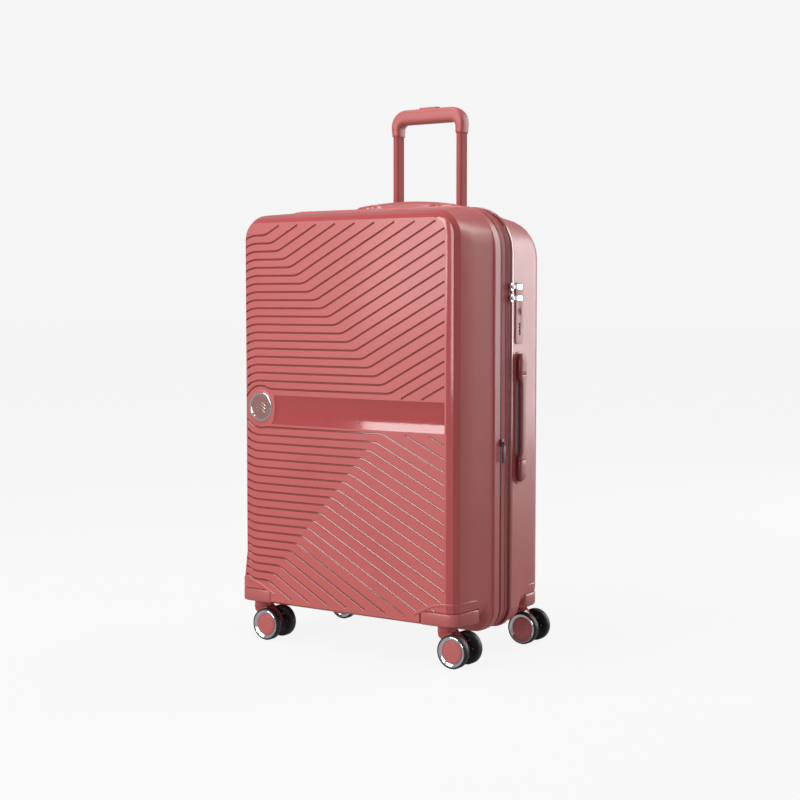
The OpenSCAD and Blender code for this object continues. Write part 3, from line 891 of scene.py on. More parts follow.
@dataclass
class GroovePattern:
    """Grooves that run level from the left edge, bend on a slanting line, and climb or fall to the right."""

    first_bend: tuple[float, float]
    step: tuple[float, float]
    slope: float
    slope_step: float
    short_ends: tuple[float, ...]
    belt_edge: float
    left_x: float = -0.2135
    right_x: float = 0.2065
    edge_z: float = 0.731
    count: int = 20
    bend_r: float = 0.009

    def run(self, start: Vector, end: Vector, steps: int) -> Path:
        """Return evenly spaced points from start to just before end."""
        return [start.lerp(end, i / steps) for i in range(steps)]

    def grooves(self) -> list[Path]:
        """Return the grooves' paths as points in X and Z, with Y left at zero.

        Returns:
            One path for each long groove and one for each short one beside the belt.
        """
        paths = []
        for index in range(self.count):
            bend = Vector((self.first_bend[0] + self.step[0] * index, 0,
                           self.first_bend[1] + self.step[1] * index))
            slope = self.slope + self.slope_step * index
            reach = self.right_x - bend.x
            if abs(slope * reach) > abs(self.edge_z - bend.z):
                reach = (self.edge_z - bend.z) / slope
            end = Vector((bend.x + reach, 0, bend.z + slope * reach))
            before = bend - Vector((self.bend_r, 0, 0))
            after = bend + (end - bend).normalized() * self.bend_r
            start = Vector((self.left_x, 0, bend.z))
            steps = 40 if index == 0 else 20
            level = self.run(start, before, steps) if before.x > start.x + self.bend_r else []
            curve = [before.lerp(bend, t).lerp(bend.lerp(after, t), t) for t in (0, 0.25, 0.5, 0.75)]
            paths.append(level + curve + self.run(after, end, 6) + [end])
        for end_z in self.short_ends:
            end = Vector((self.right_x, 0, end_z))
            start_x = self.right_x - (end_z - self.belt_edge) / self.slope
            paths.append(self.run(Vector((start_x, 0, self.belt_edge)), end, 3) + [end])
        return paths


UPPER = GroovePattern((0.100, 0.447), (-0.014, 0.0141), 0.53, 0.0, (0.484, 0.4625), 0.4395)
LOWER = GroovePattern((0.0848, 0.380), (-0.0131, -0.0143), -0.475, -0.005, (0.3655, 0.3439), 0.3795,
                      edge_z=0.078)


@dataclass
class FrontShell:
    """The front shell, with its grooved panel, its belt and its glossy bevel."""

    wall: float = 0.0026
    bevel_back: float = 0.015
    bevel_in: float = 0.020
    foot_bevel: float = 0.004
    groove_r: float = 0.0019
    groove_out: float = 0.0005
    soft_edge_x: float = 0.2
    turn_x: float = 0.184
    turn_reach: float = 0.0295
    turn_z: float = 0.008
    turn_near: float = 0.030
    near_reach: float = 0.03
    edge_x: float = 0.2095
    edge_slope: float = 0.9
    belt_low: float = 0.3855
    belt_high: float = 0.4365
    belt_right: float = 0.207
    belt_gap_r: float = 0.037
    belt_deep: float = 0.0019

    def outlines(self) -> list[Outline]:
        """Return the outer outlines from the panel's edge back to the rim."""
        lay = LAY
        edge_w = lay.half_w - lay.slope * (lay.front_rim_y - lay.face_y - self.bevel_back)
        edge_top = lay.top_z - (lay.half_w - edge_w)
        low = lay.well_z
        face = lay.face_y
        panel = Outline(edge_w - self.bevel_in, low + self.foot_bevel, edge_top - self.bevel_in * 2 / 3,
                        0.028, 0.018, face)
        shoulder = Outline(edge_w - 0.0085, low + 0.0006, edge_top - self.bevel_in / 3,
                           0.036, 0.024, face + 0.0035)
        corner = Outline(edge_w - 0.0008, low, edge_top - 0.0006, 0.045, 0.030,
                         face + self.bevel_back - 0.002)
        sides = []
        for y, floor_z in ((face + self.bevel_back + 0.002, low), (face + 0.05, low), (-0.058, low),
                           (-0.048, lay.foot_z + 0.002), (lay.front_rim_y - 0.0168, lay.foot_z + 0.001)):
            back = (lay.front_rim_y - y) * lay.slope
            tight = 1 - math.exp(-(y - face) / 0.04)
            sides.append(Outline(lay.half_w - back, floor_z, lay.top_z - back, 0.036 + 0.036 * tight,
                                 0.028 + 0.010 * tight, y))
        lip = [lay.rim(lay.front_rim_y - d, i)
               for d, i in ((0.0164, -0.0006), (0.0010, -0.0006), (0, 0.0004))]
        return [panel, shoulder, corner] + sides + lip

    def skin(self) -> bpy.types.Object:
        """Loft the shell as a closed wall."""
        outer = self.outlines()
        panel = outer[0]
        middle_z = (panel.low + panel.high) / 2

        def field(outline: Outline, share: float) -> Path:
            """Return one ring of the crowned panel."""
            return [Vector((p.x, p.y - LAY.crowned(p.x, p.z, panel.half_w), p.z))
                    for p in outline.shrunk(share)]

        front = [field(panel, share) for share in FACE_SHARES]
        inner_panel = panel.inset(0.001, panel.y + self.wall)
        back = [field(inner_panel, share) for share in FACE_SHARES]
        outside = [o.points() for o in outer[1:]]
        inside = [o.inset(self.wall, o.y + (self.wall if i < 2 else 0)).points()
                  for i, o in enumerate(outer[1:-1])]
        inside.append(LAY.rim(LAY.front_rim_y, self.wall + 0.0006).points())
        rings = front + outside + inside[::-1] + back[::-1]
        peak = LAY.crown
        poles = (Vector((0, panel.y - peak, middle_z)), Vector((0, panel.y + self.wall - peak, middle_z)))
        shell = SOFT_EDGE.draw_in(loft("front_shell_skin", rings, Finish.SHELL, poles=poles))
        self.mark_faces(shell)
        return shell

    def mark_faces(self, shell: bpy.types.Object) -> None:
        """Give the panel its own finish, and the bevel a polished one."""
        for finish in (Finish.PANEL, Finish.GLOSS):
            shell.data.materials.append(finish.material)
        bevel_y = LAY.face_y + self.bevel_back
        for face in shell.data.polygons:
            middle = face.center
            flat = face.normal.y < -0.99
            if flat and middle.y < LAY.face_y + 0.0005:
                face.material_index = 1
            elif middle.y < bevel_y and face.normal.y < -0.1:
                face.material_index = 1 if middle.x < -self.soft_edge_x else 2

    def on_panel(self, path: Path, out: float) -> Path:
        """Lay a path in X and Z on the crowned panel, a distance out of it and round the badge's pad."""
        low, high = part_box("badge")
        badge = (low + high) / 2
        laid = []
        for p in path:
            turn = max(0.0, (-p.x - self.turn_x) / self.turn_reach) ** 2
            near = math.exp(-abs(p.z - badge.z) / self.near_reach)
            z = p.z + math.copysign((self.turn_z + self.turn_near * near) * turn, badge.z - p.z)
            reach = self.belt_gap_r ** 2 - (p.x - badge.x) ** 2
            if reach > (z - badge.z) ** 2:
                z = badge.z + math.copysign(math.sqrt(reach), z - badge.z)
            edge = max(0.0, -p.x - self.edge_x) * self.edge_slope
            laid.append(Vector((p.x, LAY.face_y - LAY.crowned(p.x, z) - out + edge, z)))
        return laid

    def groove_cutter(self) -> bpy.types.Object:
        """Sweep the grooves' round cutters."""
        paths = [self.on_panel(p, self.groove_out) for family in (UPPER, LOWER) for p in family.grooves()]
        # The cutters' darker finish passes to the groove walls as painted shade.
        return BEAD.build("groove_cutter", paths, False, Finish.GROOVE_PAINTED_SHADE, Radius=self.groove_r, Sides=8)

    def belt_cutter(self) -> bpy.types.Object:
        """Make the belt's hollow, a channel with an arc across it."""
        centre_z = (self.belt_low + self.belt_high) / 2
        half = (self.belt_high - self.belt_low) / 2
        start = LAY.face_y - 0.006
        badge_low, badge_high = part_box("badge")
        badge = (badge_low + badge_high) / 2

        def across(share: float, z: float) -> float:
            """Return X at a share of the belt's length, which starts on an arc round the badge."""
            first = badge.x + math.sqrt(self.belt_gap_r ** 2 - (z - badge.z) ** 2)
            return first + (self.belt_right - first) * share

        rings = []
        for share in (i / 12 for i in range(13)):
            ring = []
            for i in range(13):
                t = -1 + 2 * i / 12
                z = centre_z + half * t
                x = across(share, z)
                deep = self.belt_deep * (1 - t * t) + 0.0004
                ring.append(Vector((x, LAY.face_y - LAY.crowned(x, z) + deep, z)))
            for z in (centre_z + half, centre_z - half):
                ring.append(Vector((across(share, z), start, z)))
            rings.append(ring)
        return loft("belt_cutter", rings, Finish.BELT)

    def build(self) -> None:
        """Build the front shell and its grooves."""
        shell = self.skin()
        carve(shell, [self.belt_cutter(), self.groove_cutter(), corner_cutter(-1)])
        smooth(shell, 24.0)
        finish_piece(shell, "front_half", Finish.SHELL, "front_shell")


HOUSING_X = 0.158
HOUSING_Y = 0.076
SEAM = 0.0006
FACE_SHARES = (0.04, 0.2, 0.36, 0.52, 0.68, 0.82, 0.93, 1.0)


def corner_cutter(side: int) -> bpy.types.Object:
    """Make the blocks that the wheel housings take out of a shell.

    Args:
        side: -1 for the front shell, 1 for the rear shell.

    Returns:
        One cutter with a block for each corner.
    """
    far = 0.1
    blocks = []
    for way in (-1, 1):
        xs = sorted((way * HOUSING_X, way * (LAY.half_w + far)))
        ys = sorted((side * HOUSING_Y, side * (LAY.back_y + far)))
        blocks.append(block("block", Vector((xs[0], ys[0], LAY.foot_z - far)),
                            Vector((xs[1], ys[1], LAY.housing_top)), Finish.COVER))
    return join("corner_cutter", blocks)


def cup(name: str, outer: Sequence[Outline], inner: Sequence[Outline], bulge: float,
        finish: Finish) -> bpy.types.Object:
    """Loft a closed wall shaped like a cup, from the middle of its face to its rim and back inside.

    Args:
        name: The piece's name.
        outer: Outlines of the outside, from the face to the rim.
        inner: Outlines of the inside, from the face to the rim.
        bulge: How far the face's middle stands out, along Y.
        finish: What the piece is made of.

    Returns:
        The lofted wall.
    """

    def field(outline: Outline) -> list[Path]:
        """Return the rings of one face, bulged."""
        crown = [LAY.crowned(p.x, p.z, outline.half_w) / LAY.crown
                 for s in FACE_SHARES for p in outline.shrunk(s)]
        rings = [[Vector(p) for p in outline.shrunk(s)] for s in FACE_SHARES]
        for point, lift in zip((p for ring in rings for p in ring), crown):
            point.y += bulge * lift
        return rings

    rings = field(outer[0]) + [o.points() for o in outer[1:]]
    rings += [o.points() for o in reversed(inner[1:])] + field(inner[0])[::-1]
    poles = [Vector((0, o.y + bulge, (o.low + o.high) / 2)) for o in (outer[0], inner[0])]
    return loft(name, rings, finish, poles=poles)


def hoop(name: str, profile: Sequence[tuple[float, float]], finish: Finish) -> bpy.types.Object:
    """Loft a closed ring that follows the rims.

    Args:
        name: The piece's name.
        profile: Depth and inset from the rims' outline, round the ring's section.
        finish: What it is made of.

    Returns:
        The ring.
    """
    return smooth(loft(name, [LAY.rim(y, inset).points() for y, inset in profile], finish, closed=True))


def soften(node: str, finish: Finish, width: float, body: str, segments: int = 3) -> bpy.types.Object:
    """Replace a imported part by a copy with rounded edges.

    Args:
        node: The part.
        finish: What it is made of.
        width: The rounding's width, in metres.
        body: The body that it moves with.
        segments: The rounding's number of steps.

    Returns:
        The rounded copy.
    """
    mesh = bpy.data.meshes.new(f"{node}_soft")
    work = bmesh.new()
    work.from_mesh(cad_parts[node].data)
    bmesh.ops.remove_doubles(work, verts=work.verts, dist=1e-6)
    bmesh.ops.dissolve_limit(work, angle_limit=math.radians(1.0), verts=work.verts, edges=work.edges)
    work.to_mesh(mesh)
    work.free()
    mesh.materials.clear()
    mesh.materials.append(finish.material)
    piece = bpy.data.objects.new(f"{node}_soft", mesh)
    bpy.context.scene.collection.objects.link(piece)
    bevel(piece, width, segments)
    finish_piece(piece, body, finish, node)
    return piece


def superellipse(centre: Vector, across: Vector, up: Vector, power: float = 3.2, steps: int = 24) -> Path:
    """Return a rounded section.

    Args:
        centre: The section's centre.
        across: Half of its first width, as a vector.
        up: Half of its second width, as a vector.
        power: 2 for an ellipse, and more for a squarer section.
        steps: Its number of points.

    Returns:
        The section's points.
    """
    ring = []
    for step in range(steps):
        angle = 2 * math.pi * (step + 0.5) / steps
        c, s = math.cos(angle), math.sin(angle)
        ring.append(centre + across * math.copysign(abs(c) ** (2 / power), c)
                    + up * math.copysign(abs(s) ** (2 / power), s))
    return ring


def seat(piece: bpy.types.Object, place: Matrix) -> bpy.types.Object:
    """Move a piece's mesh from its own frame into the case's."""
    piece.data.transform(place)
    return piece


def on_side(y: float, z: float) -> Matrix:
    """Return the frame of a place on the drafted right side, with X out of the shell."""
    x = LAY.half_w - LAY.slope * (y - LAY.rear_rim_y)
    return Matrix.Translation((x, y, z)) @ Matrix.Rotation(math.atan(LAY.slope), 4, "Z")


def on_top(y: float) -> Matrix:
    """Return the frame of a place on the drafted top, with X out of the shell and Z along it."""
    z = LAY.top_z - LAY.slope * (y - LAY.rear_rim_y)
    tilt = Matrix.Rotation(-math.atan(LAY.slope), 4, "X") @ Matrix.Rotation(-math.pi / 2, 4, "Y")
    return Matrix.Translation((0, y, z)) @ tilt


# ---------------------------------------------------------- rear shell, linings


@dataclass
class RearShell:
    """The rear shell, with a polished bead at its rim and level grooves on its back."""

    wall: float = 0.0026
    back_r: float = 0.040
    heel_r: float = 0.025
    bead_w: float = 0.0116
    bead_out: float = 0.0012
    top_fall: float = 0.007
    groove_pitch: float = 0.0213
    groove_r: float = 0.0015
    hole_side: float = 0.001
    hole_end: float = 0.009

    def outlines(self) -> list[Outline]:
        """Return the outer outlines from the back's edge forward to the rim."""
        lay = LAY
        turn_y = lay.back_y - self.back_r
        bead_y = lay.rear_rim_y + self.bead_w

        def at(y: float, low: float, inset: float = 0.0, drop: float = 0.0, turn: float = 0.0) -> Outline:
            """Return the outline of one depth of the drafted sides."""
            back = (min(y, turn_y) - lay.rear_rim_y) * lay.slope + inset
            fall = self.top_fall * (1 - math.exp(-max(y - bead_y, 0) / 0.02))
            return Outline(lay.half_w - back - drop, low + inset, lay.top_z - back - drop - fall,
                           lay.head_r - 0.6 * back - 0.9 * drop, 0.036 - 0.4 * back - 0.026 * turn, y)

        rings = []
        for degrees in (90, 78, 66, 54, 42, 30, 18, 6):
            angle = math.radians(degrees)
            turn = 1 - math.cos(angle)
            rings.append(at(turn_y + self.back_r * math.sin(angle), lay.well_z + self.heel_r * turn, 0.0,
                            self.back_r * turn, turn))
        rings += [at(0.1, lay.well_z), at(0.058, lay.well_z), at(0.048, lay.foot_z + 0.002)]
        rings.append(at(bead_y + 0.0004, lay.foot_z + 0.001))
        for step in range(7):
            angle = math.pi * step / 6
            y = lay.rear_rim_y + self.bead_w * (0.5 + 0.5 * math.cos(angle))
            rings.append(at(y, lay.foot_z, 0.0003 - (self.bead_out + 0.0003) * math.sin(angle)))
        return rings

    def grooves(self) -> list[Path]:
        """Return the grooves of the back, which bend down on both sides of the trolley."""
        paths = []
        y = LAY.back_y + 0.0004
        for row in range(24):
            z = 0.150 + row * self.groove_pitch
            for side in (-1, 1):
                paths.append([Vector((side * x, y, z + rise)) for x, rise in
                              ((0.176, 0.026), (0.128, 0.002), (0.120, 0.0), (0.105, 0.0))])
        return paths

    def holes(self) -> list[bpy.types.Object]:
        """Return the cutters for the trolley's bezel, the two handles and the lock."""
        bezel_low, bezel_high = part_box("trolley_bezel")
        out = 0.02
        cutters = [block("hole", bezel_low, bezel_high + Vector((0, out, out)))]
        cutters[0].data.transform(Matrix.Translation((0, 0.00005, 0)))
        seats = [(handle.base_w / 2 - self.hole_side, handle.base_l / 2 - self.hole_end, handle.place())
                 for handle in (SIDE_HANDLE, TOP_HANDLE)]
        seats.append((*LOCK.hole, LOCK.place()))
        for half_w, half_l, place in seats:
            hole = block("hole", Vector((-out, -half_w, -half_l)), Vector((out, half_w, half_l)))
            cutters.append(seat(hole, place))
        return cutters

    def build(self) -> None:
        """Build the rear shell."""
        outer = self.outlines()
        inner = [o.inset(self.wall, o.y - (self.wall if i < 3 else 0)) for i, o in enumerate(outer[:-7])]
        inner.append(LAY.rim(LAY.rear_rim_y, self.wall + self.bead_out))
        shell = cup("rear_shell_skin", outer, inner, 0.0, Finish.SHELL)
        shell.data.materials.append(Finish.GLOSS.material)
        for face in shell.data.polygons:
            if face.center.y < LAY.rear_rim_y + self.bead_w + 0.0003:
                face.material_index = 1
        # The cutters' darker finish passes to the groove walls as painted shade.
        grooves = BEAD.build("groove_cutter", self.grooves(), False, Finish.GROOVE_PAINTED_SHADE,
                             Radius=self.groove_r, Sides=8)
        carve(shell, self.holes() + [corner_cutter(1), grooves])
        smooth(shell, 24.0)
        finish_piece(shell, "rear_half", Finish.SHELL, "rear_shell")


@dataclass
class Lining:
    """The cloth linings, the straps, the gusset and the hinge tape."""

    gap: float = 0.0005
    thick: float = 0.0012
    pleats: int = 4
    strap_reach: tuple[float, float] = (0.190, 0.240)
    strap_half_w: float = 0.0125
    strap_half_t: float = 0.0009
    buckle_half: float = 0.021

    def lay_in(self, name: str, outlines: Sequence[Outline], wall: float, face_y: float, body: str,
               node: str) -> None:
        """Line a shell.

        Args:
            name: The lining's name.
            outlines: The shell's outer outlines, from the face to the rim.
            wall: The shell's wall.
            face_y: The depth of the lining's floor.
            body: The body that it moves with.
            node: The part that it replaces.
        """
        side = 1 if face_y > 0 else -1
        near = [o for o in outlines if abs(o.y) < abs(face_y)]
        cut = wall + self.gap
        edge_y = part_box(node)[0 if side > 0 else 1].y
        first = outlines[0].inset(cut, face_y) if side < 0 else near[0].inset(cut, face_y)
        outer = [first] + [o.inset(cut, o.y) for o in near if abs(o.y) > abs(edge_y)]
        outer.append(outer[-1].inset(0, edge_y))
        inner = [first.inset(self.thick, face_y - side * self.thick)]
        inner += [o.inset(self.thick) for o in outer[1:]]
        lining = smooth(SOFT_EDGE.draw_in(cup(name, outer, inner, 0.0, Finish.LINING)))
        finish_piece(lining, body, Finish.LINING, node)

    def straps(self) -> None:
        """Lay the crossed straps with their buckle."""
        low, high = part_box("packing_straps")
        y = high.y - 0.001
        reach = Vector((self.strap_reach[0], 0, self.strap_reach[1]))
        pieces = []
        for tilt in (-1, 1):
            along = Vector((tilt * reach.x, 0, reach.z))
            side = Vector((reach.z, 0, -tilt * reach.x)).normalized() * self.strap_half_w
            rings = []
            for i in range(25):
                t = -1 + i / 12
                rise = 0.0012 * math.cos(t * math.pi * 3) + 0.002 * (1 - t * t)
                middle = Vector((0, y - rise - 0.0006 * tilt, LAY.mid_z)) + along * t
                rings.append(superellipse(middle, side, Vector((0, self.strap_half_t, 0)), 6.0, 12))
            pieces.append(smooth(loft("strap", rings, Finish.STRAP)))
        finish_piece(join("packing_straps_webbing", pieces), "rear_half", Finish.STRAP, "packing_straps")
        half = self.buckle_half
        buckle = block("buckle", Vector((-half, low.y, LAY.mid_z - half)),
                       Vector((half, high.y, LAY.mid_z + half)), Finish.DIAL)
        slots = [block("slot", Vector((-0.014, low.y - 0.01, LAY.mid_z + z - 0.0015)),
                       Vector((0.014, low.y + 0.0015, LAY.mid_z + z + 0.0015))) for z in (-0.013, 0.013)]
        carve(buckle, slots)
        finish_piece(bevel(buckle, 0.0008), "rear_half", Finish.DIAL)

    def gusset(self) -> None:
        """Make the sleeve that unfolds when the case expands, with soft pleats round it."""
        low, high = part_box("expander_gusset")
        steps = self.pleats * 6
        start, end = low.y + 0.0006, high.y - 0.0006
        middle = 0.0126
        wave = 0.0005
        outer = []
        for i in range(steps + 1):
            y = start + (end - start) * i / steps
            outer.append((y, middle - 0.0005 + wave * math.cos(i * math.pi / 3)))
        inner = [(y, inset + 0.001) for y, inset in reversed(outer)]
        rings = [LAY.rim(y, inset) for y, inset in outer + inner]
        floors = [Outline(r.half_w, max(r.low, LAY.well_z + 0.005) if r.y < -0.05 else r.low,
                          r.high, r.head_r, r.foot_r, r.y) for r in rings]
        sleeve = smooth(loft("gusset_sleeve", [r.points() for r in floors], Finish.GUSSET, closed=True))
        flange = hoop("gusset_flange", [(high.y - 0.004, 0.0046), (high.y, 0.0046), (high.y, 0.0128),
                                        (high.y - 0.004, 0.0128)], Finish.GUSSET)
        finish_piece(join("expander_gusset_cloth", [sleeve, flange]), "lid_frame", Finish.GUSSET,
                     "expander_gusset")

    def hinge(self) -> None:
        """Make the hinge tape, a ribbed strip inside the left edge."""
        low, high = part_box("hinge_tape")
        rings = []
        for i in range(41):
            z = low.z + (high.z - low.z) * i / 40
            middle = Vector(((low.x + high.x) / 2, (low.y + high.y) / 2, z))
            thick = 0.0004 + 0.0001 * (i % 2)
            rings.append(superellipse(middle, Vector((thick, 0, 0)),
                                      Vector((0, (high.y - low.y) / 2, 0)), 6.0, 12))
        tape = smooth(loft("hinge_tape_cloth", rings, Finish.TAPE))
        finish_piece(tape, "lid_frame", Finish.TAPE, "hinge_tape")

    def build(self) -> None:
        """Build everything that is cloth inside the case."""
        front = FrontShell()
        rear = RearShell()
        front_floor = LAY.face_y + front.wall + self.gap + 0.0008
        self.lay_in("front_lining_cloth", front.outlines(), front.wall, front_floor, "front_half",
                    "front_lining")
        self.lay_in("rear_lining_cloth", rear.outlines(), rear.wall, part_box("rear_lining")[1].y, "rear_half",
                    "rear_lining")
        self.straps()
        self.gusset()
        self.hinge()


# -------------------------------------------------------------- zips and band


@dataclass
class ZipBand:
    """The band between the two zips, its tapes, its teeth and its stitches."""

    band_t: float = 0.003
    piping: float = 0.0009
    tooth_pitch: float = 0.0023
    tooth: tuple[float, float, float] = (0.0012, 0.0024, 0.0013)
    stitch_pitch: float = 0.0034
    stitch: tuple[float, float, float] = (0.0022, 0.0005, 0.0005)

    def ridge(self, y: float, width: float) -> list[tuple[float, float]]:
        """Return the section of a raised ridge that starts at a depth."""
        base = LAY.band_inset
        return [(y, base), (y + width * 0.2, base - self.piping), (y + width * 0.8, base - self.piping),
                (y + width, base)]

    def band(self) -> None:
        """Build the band with a piping along each edge and one near its middle."""
        start, end = LAY.expand_y, LAY.split_y
        inner = LAY.band_inset + self.band_t
        profile = [(start, LAY.band_inset + 0.0004)]
        for y, width in ((start + 0.0026, 0.0022), (-0.0034, 0.0026), (end - 0.0066, 0.0022)):
            profile += self.ridge(y, width)
        profile += [(end - 0.0001, LAY.band_inset + 0.0004), (end - 0.0001, inner), (start, inner)]
        finish_piece(hoop("band_cloth", profile, Finish.BAND), "lid_frame", Finish.BAND, "expander_band")

    def tapes(self) -> None:
        """Build the two tapes beyond the band, each with a rolled edge."""
        base, deep = LAY.band_inset, LAY.band_inset + 0.002
        rows = (("rear_zip_tape", "rear_half", LAY.split_y + 0.0001, LAY.rear_rim_y),
                ("front_zip_tape", "front_half", LAY.expand_y - 0.0002, LAY.front_rim_y))
        for node, body, edge, far in rows:
            toward = math.copysign(0.0006, far - edge)
            profile = [(edge, base + 0.0005), (edge + toward, base), (far - 2 * toward, base),
                       (far, base - 0.0004), (far, deep), (edge, deep)]
            finish_piece(hoop(f"{node}_cloth", profile, Finish.TAPE), body, Finish.TAPE, node)

    def teeth(self) -> None:
        """Set the teeth of both zips, one row on each side of each."""
        rows = (("main_teeth_rear", "rear_half", LAY.split_y + 0.0014, 0.35),
                ("main_teeth_band", "lid_frame", LAY.split_y - 0.0014, -0.35),
                ("expander_teeth_band", "lid_frame", LAY.expand_y + 0.0014, 0.35),
                ("expander_teeth_front", "front_half", LAY.expand_y - 0.0016, -0.35))
        for name, body, y, tilt in rows:
            path = LAY.rim(y, LAY.band_inset - 0.0001).points()
            row = ROW.build(name, [path], True, Finish.DARK_ZIP, Pitch=self.tooth_pitch, Size=self.tooth,
                            Tilt=tilt)
            finish_piece(row, body, Finish.DARK_ZIP)

    def stitches(self) -> None:
        """Sew a row of stitches beside each piping."""
        paths = [LAY.rim(y, LAY.band_inset - 0.0001).points()
                 for y in (LAY.expand_y + 0.0058, LAY.split_y - 0.0078)]
        row = ROW.build("band_stitches", paths, True, Finish.TAPE, Pitch=self.stitch_pitch, Size=self.stitch,
                        Tilt=0.0)
        finish_piece(row, "lid_frame", Finish.TAPE)

    def build(self) -> None:
        """Build the band and both zips."""
        self.band()
        self.tapes()
        self.teeth()
        self.stitches()


# ------------------------------------------------------- housings and casters


@dataclass
class Housings:
    """The covers over the caster mounts, and the ridges above them."""

    round_w: float = 0.004
    ridge_r: float = 0.0036
    sunk: float = 0.0024

    def cover(self, outlines: Sequence[Outline], side: int, way: int) -> bpy.types.Object:
        """Make one corner's cover.

        Args:
            outlines: The shell's outlines from its face to its rim.
            side: -1 for the front, 1 for the rear.
            way: -1 for the left, 1 for the right.

        Returns:
            The cover.
        """
        edge_y = HOUSING_Y + SEAM
        skin = [o for o in outlines if abs(o.y) > edge_y]
        before = next(o for o in outlines if abs(o.y) <= edge_y)
        share = (abs(skin[-1].y) - edge_y) / (abs(skin[-1].y) - abs(before.y))
        edge_w = skin[-1].half_w + (before.half_w - skin[-1].half_w) * share
        plan = [(HOUSING_X + SEAM, side * edge_y), (edge_w, side * edge_y)]
        plan += [(o.half_w, o.y) for o in reversed(skin)]
        plan.append((HOUSING_X + SEAM, skin[0].y))
        foot = [Vector((way * x, y, LAY.well_z)) for x, y in plan]
        tall = LAY.housing_top - LAY.well_z - SEAM
        return bevel(prism("cover", foot, Vector((0, 0, tall)), Finish.COVER), self.round_w, 3, 50.0)

    def ridge_path(self, outlines: Sequence[Outline], side: int, way: int) -> Path:
        """Return the path of the raised ridge that runs over one corner's cover."""
        face = outlines[0]
        start = [(HOUSING_X - 0.010, 0.0835), (HOUSING_X + 0.008, 0.0925), (0.184, 0.1005), (0.198, 0.104)]
        points = [Vector((way * x, face.y - side * self.sunk, z)) for x, z in start if x < face.half_w]
        around = [o for o in outlines if abs(o.y) > HOUSING_Y + 0.012]
        points += [Vector((way * (o.half_w - self.sunk), o.y - side * self.sunk, 0.105)) for o in around]
        last = points[-1]
        points.append(Vector((last.x, last.y - side * 0.018, 0.103)))
        return points

    def build(self) -> None:
        """Build the covers and ridges of both shells."""
        sides = ((-1, FrontShell().outlines(), "front_half", "front_wheel_housings"),
                 (1, RearShell().outlines(), "rear_half", "rear_wheel_housings"))
        for side, outlines, body, node in sides:
            covers = [self.cover(outlines, side, way) for way in (-1, 1)]
            finish_piece(join(f"{node}_covers", covers), body, Finish.COVER, node)
            paths = [self.ridge_path(outlines, side, way) for way in (-1, 1)]
            ridges = BEAD.build(f"{body}_ridges", paths, False, Finish.SHELL, Radius=self.ridge_r, Sides=16)
            finish_piece(smooth(ridges, 60.0), body, Finish.SHELL)


@dataclass
class Caster:
    """One twin caster: its fork and its two discs."""

    corner: str
    inner_face: float = 0.0142
    pin_ring_r: float = 0.0155
    pin: tuple[float, float, float] = (0.0022, 0.0014, 0.0022)

    SECTIONS = {
        "tyres": (Finish.TYRE, ((24.2, 0.8), (26.4, 0.1), (27.5, 0.8), (28.0, 2.0), (28.0, 11.0),
                                (27.5, 12.2), (26.4, 12.9), (25.1, 13.0), (25.0, 9.7), (24.2, 9.5))),
        "rings": (Finish.CHROME, ((19.6, 9.6), (24.9, 9.6), (24.9, 12.8), (24.3, 13.0), (23.4, 12.4),
                                  (21.0, 11.3), (20.1, 11.1), (19.6, 10.7))),
        "caps": (Finish.CAP, ((0.0, 9.6), (19.4, 9.6), (19.4, 11.2), (18.9, 11.7), (17.8, 11.8), (17.4, 11.4),
                              (16.8, 11.4), (16.4, 11.9), (8.0, 12.2), (0.0, 12.3))),
        "hubs": (Finish.HUB, ((3.05, -1.6), (8.0, -1.6), (8.0, 1.0), (9.5, 2.4), (21.5, 2.4), (22.5, 1.0),
                              (24.1, 1.2), (24.1, 9.5), (3.05, 9.5))),
    }

    def axis(self) -> Vector:
        """Return the middle of the axle, from the tyres' box."""
        low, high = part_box(f"{self.corner}_tyres")
        return (low + high) / 2

    def build(self) -> None:
        """Build the caster's pieces."""
        centre = self.axis()
        body = f"{self.corner}_wheels"
        for kind, (finish, section) in self.SECTIONS.items():
            discs = [lathe("disc", centre + Vector((0, side * self.inner_face, 0)), section, side, finish)
                     for side in (-1, 1)]
            finish_piece(join(f"{self.corner}_{kind}_turned", discs), body, finish, f"{self.corner}_{kind}")
        across, up = Vector((1, 0, 0)), Vector((0, 0, 1))
        rings = [turn_points(centre + Vector((0, side * (self.inner_face + 0.002), 0)), self.pin_ring_r,
                             0, 352.5, 47, across, up) for side in (-1, 1)]
        pins = ROW.build(f"{self.corner}_pins", rings, True, Finish.CAP, Size=self.pin, Tilt=0.0,
                         Pitch=2 * math.pi * self.pin_ring_r / 6)
        finish_piece(pins, body, Finish.CAP)
        soften(f"{self.corner}_fork", Finish.GLOSS, 0.0012, f"{self.corner}_caster")


# ------------------------------------------------------------ trolley, handles


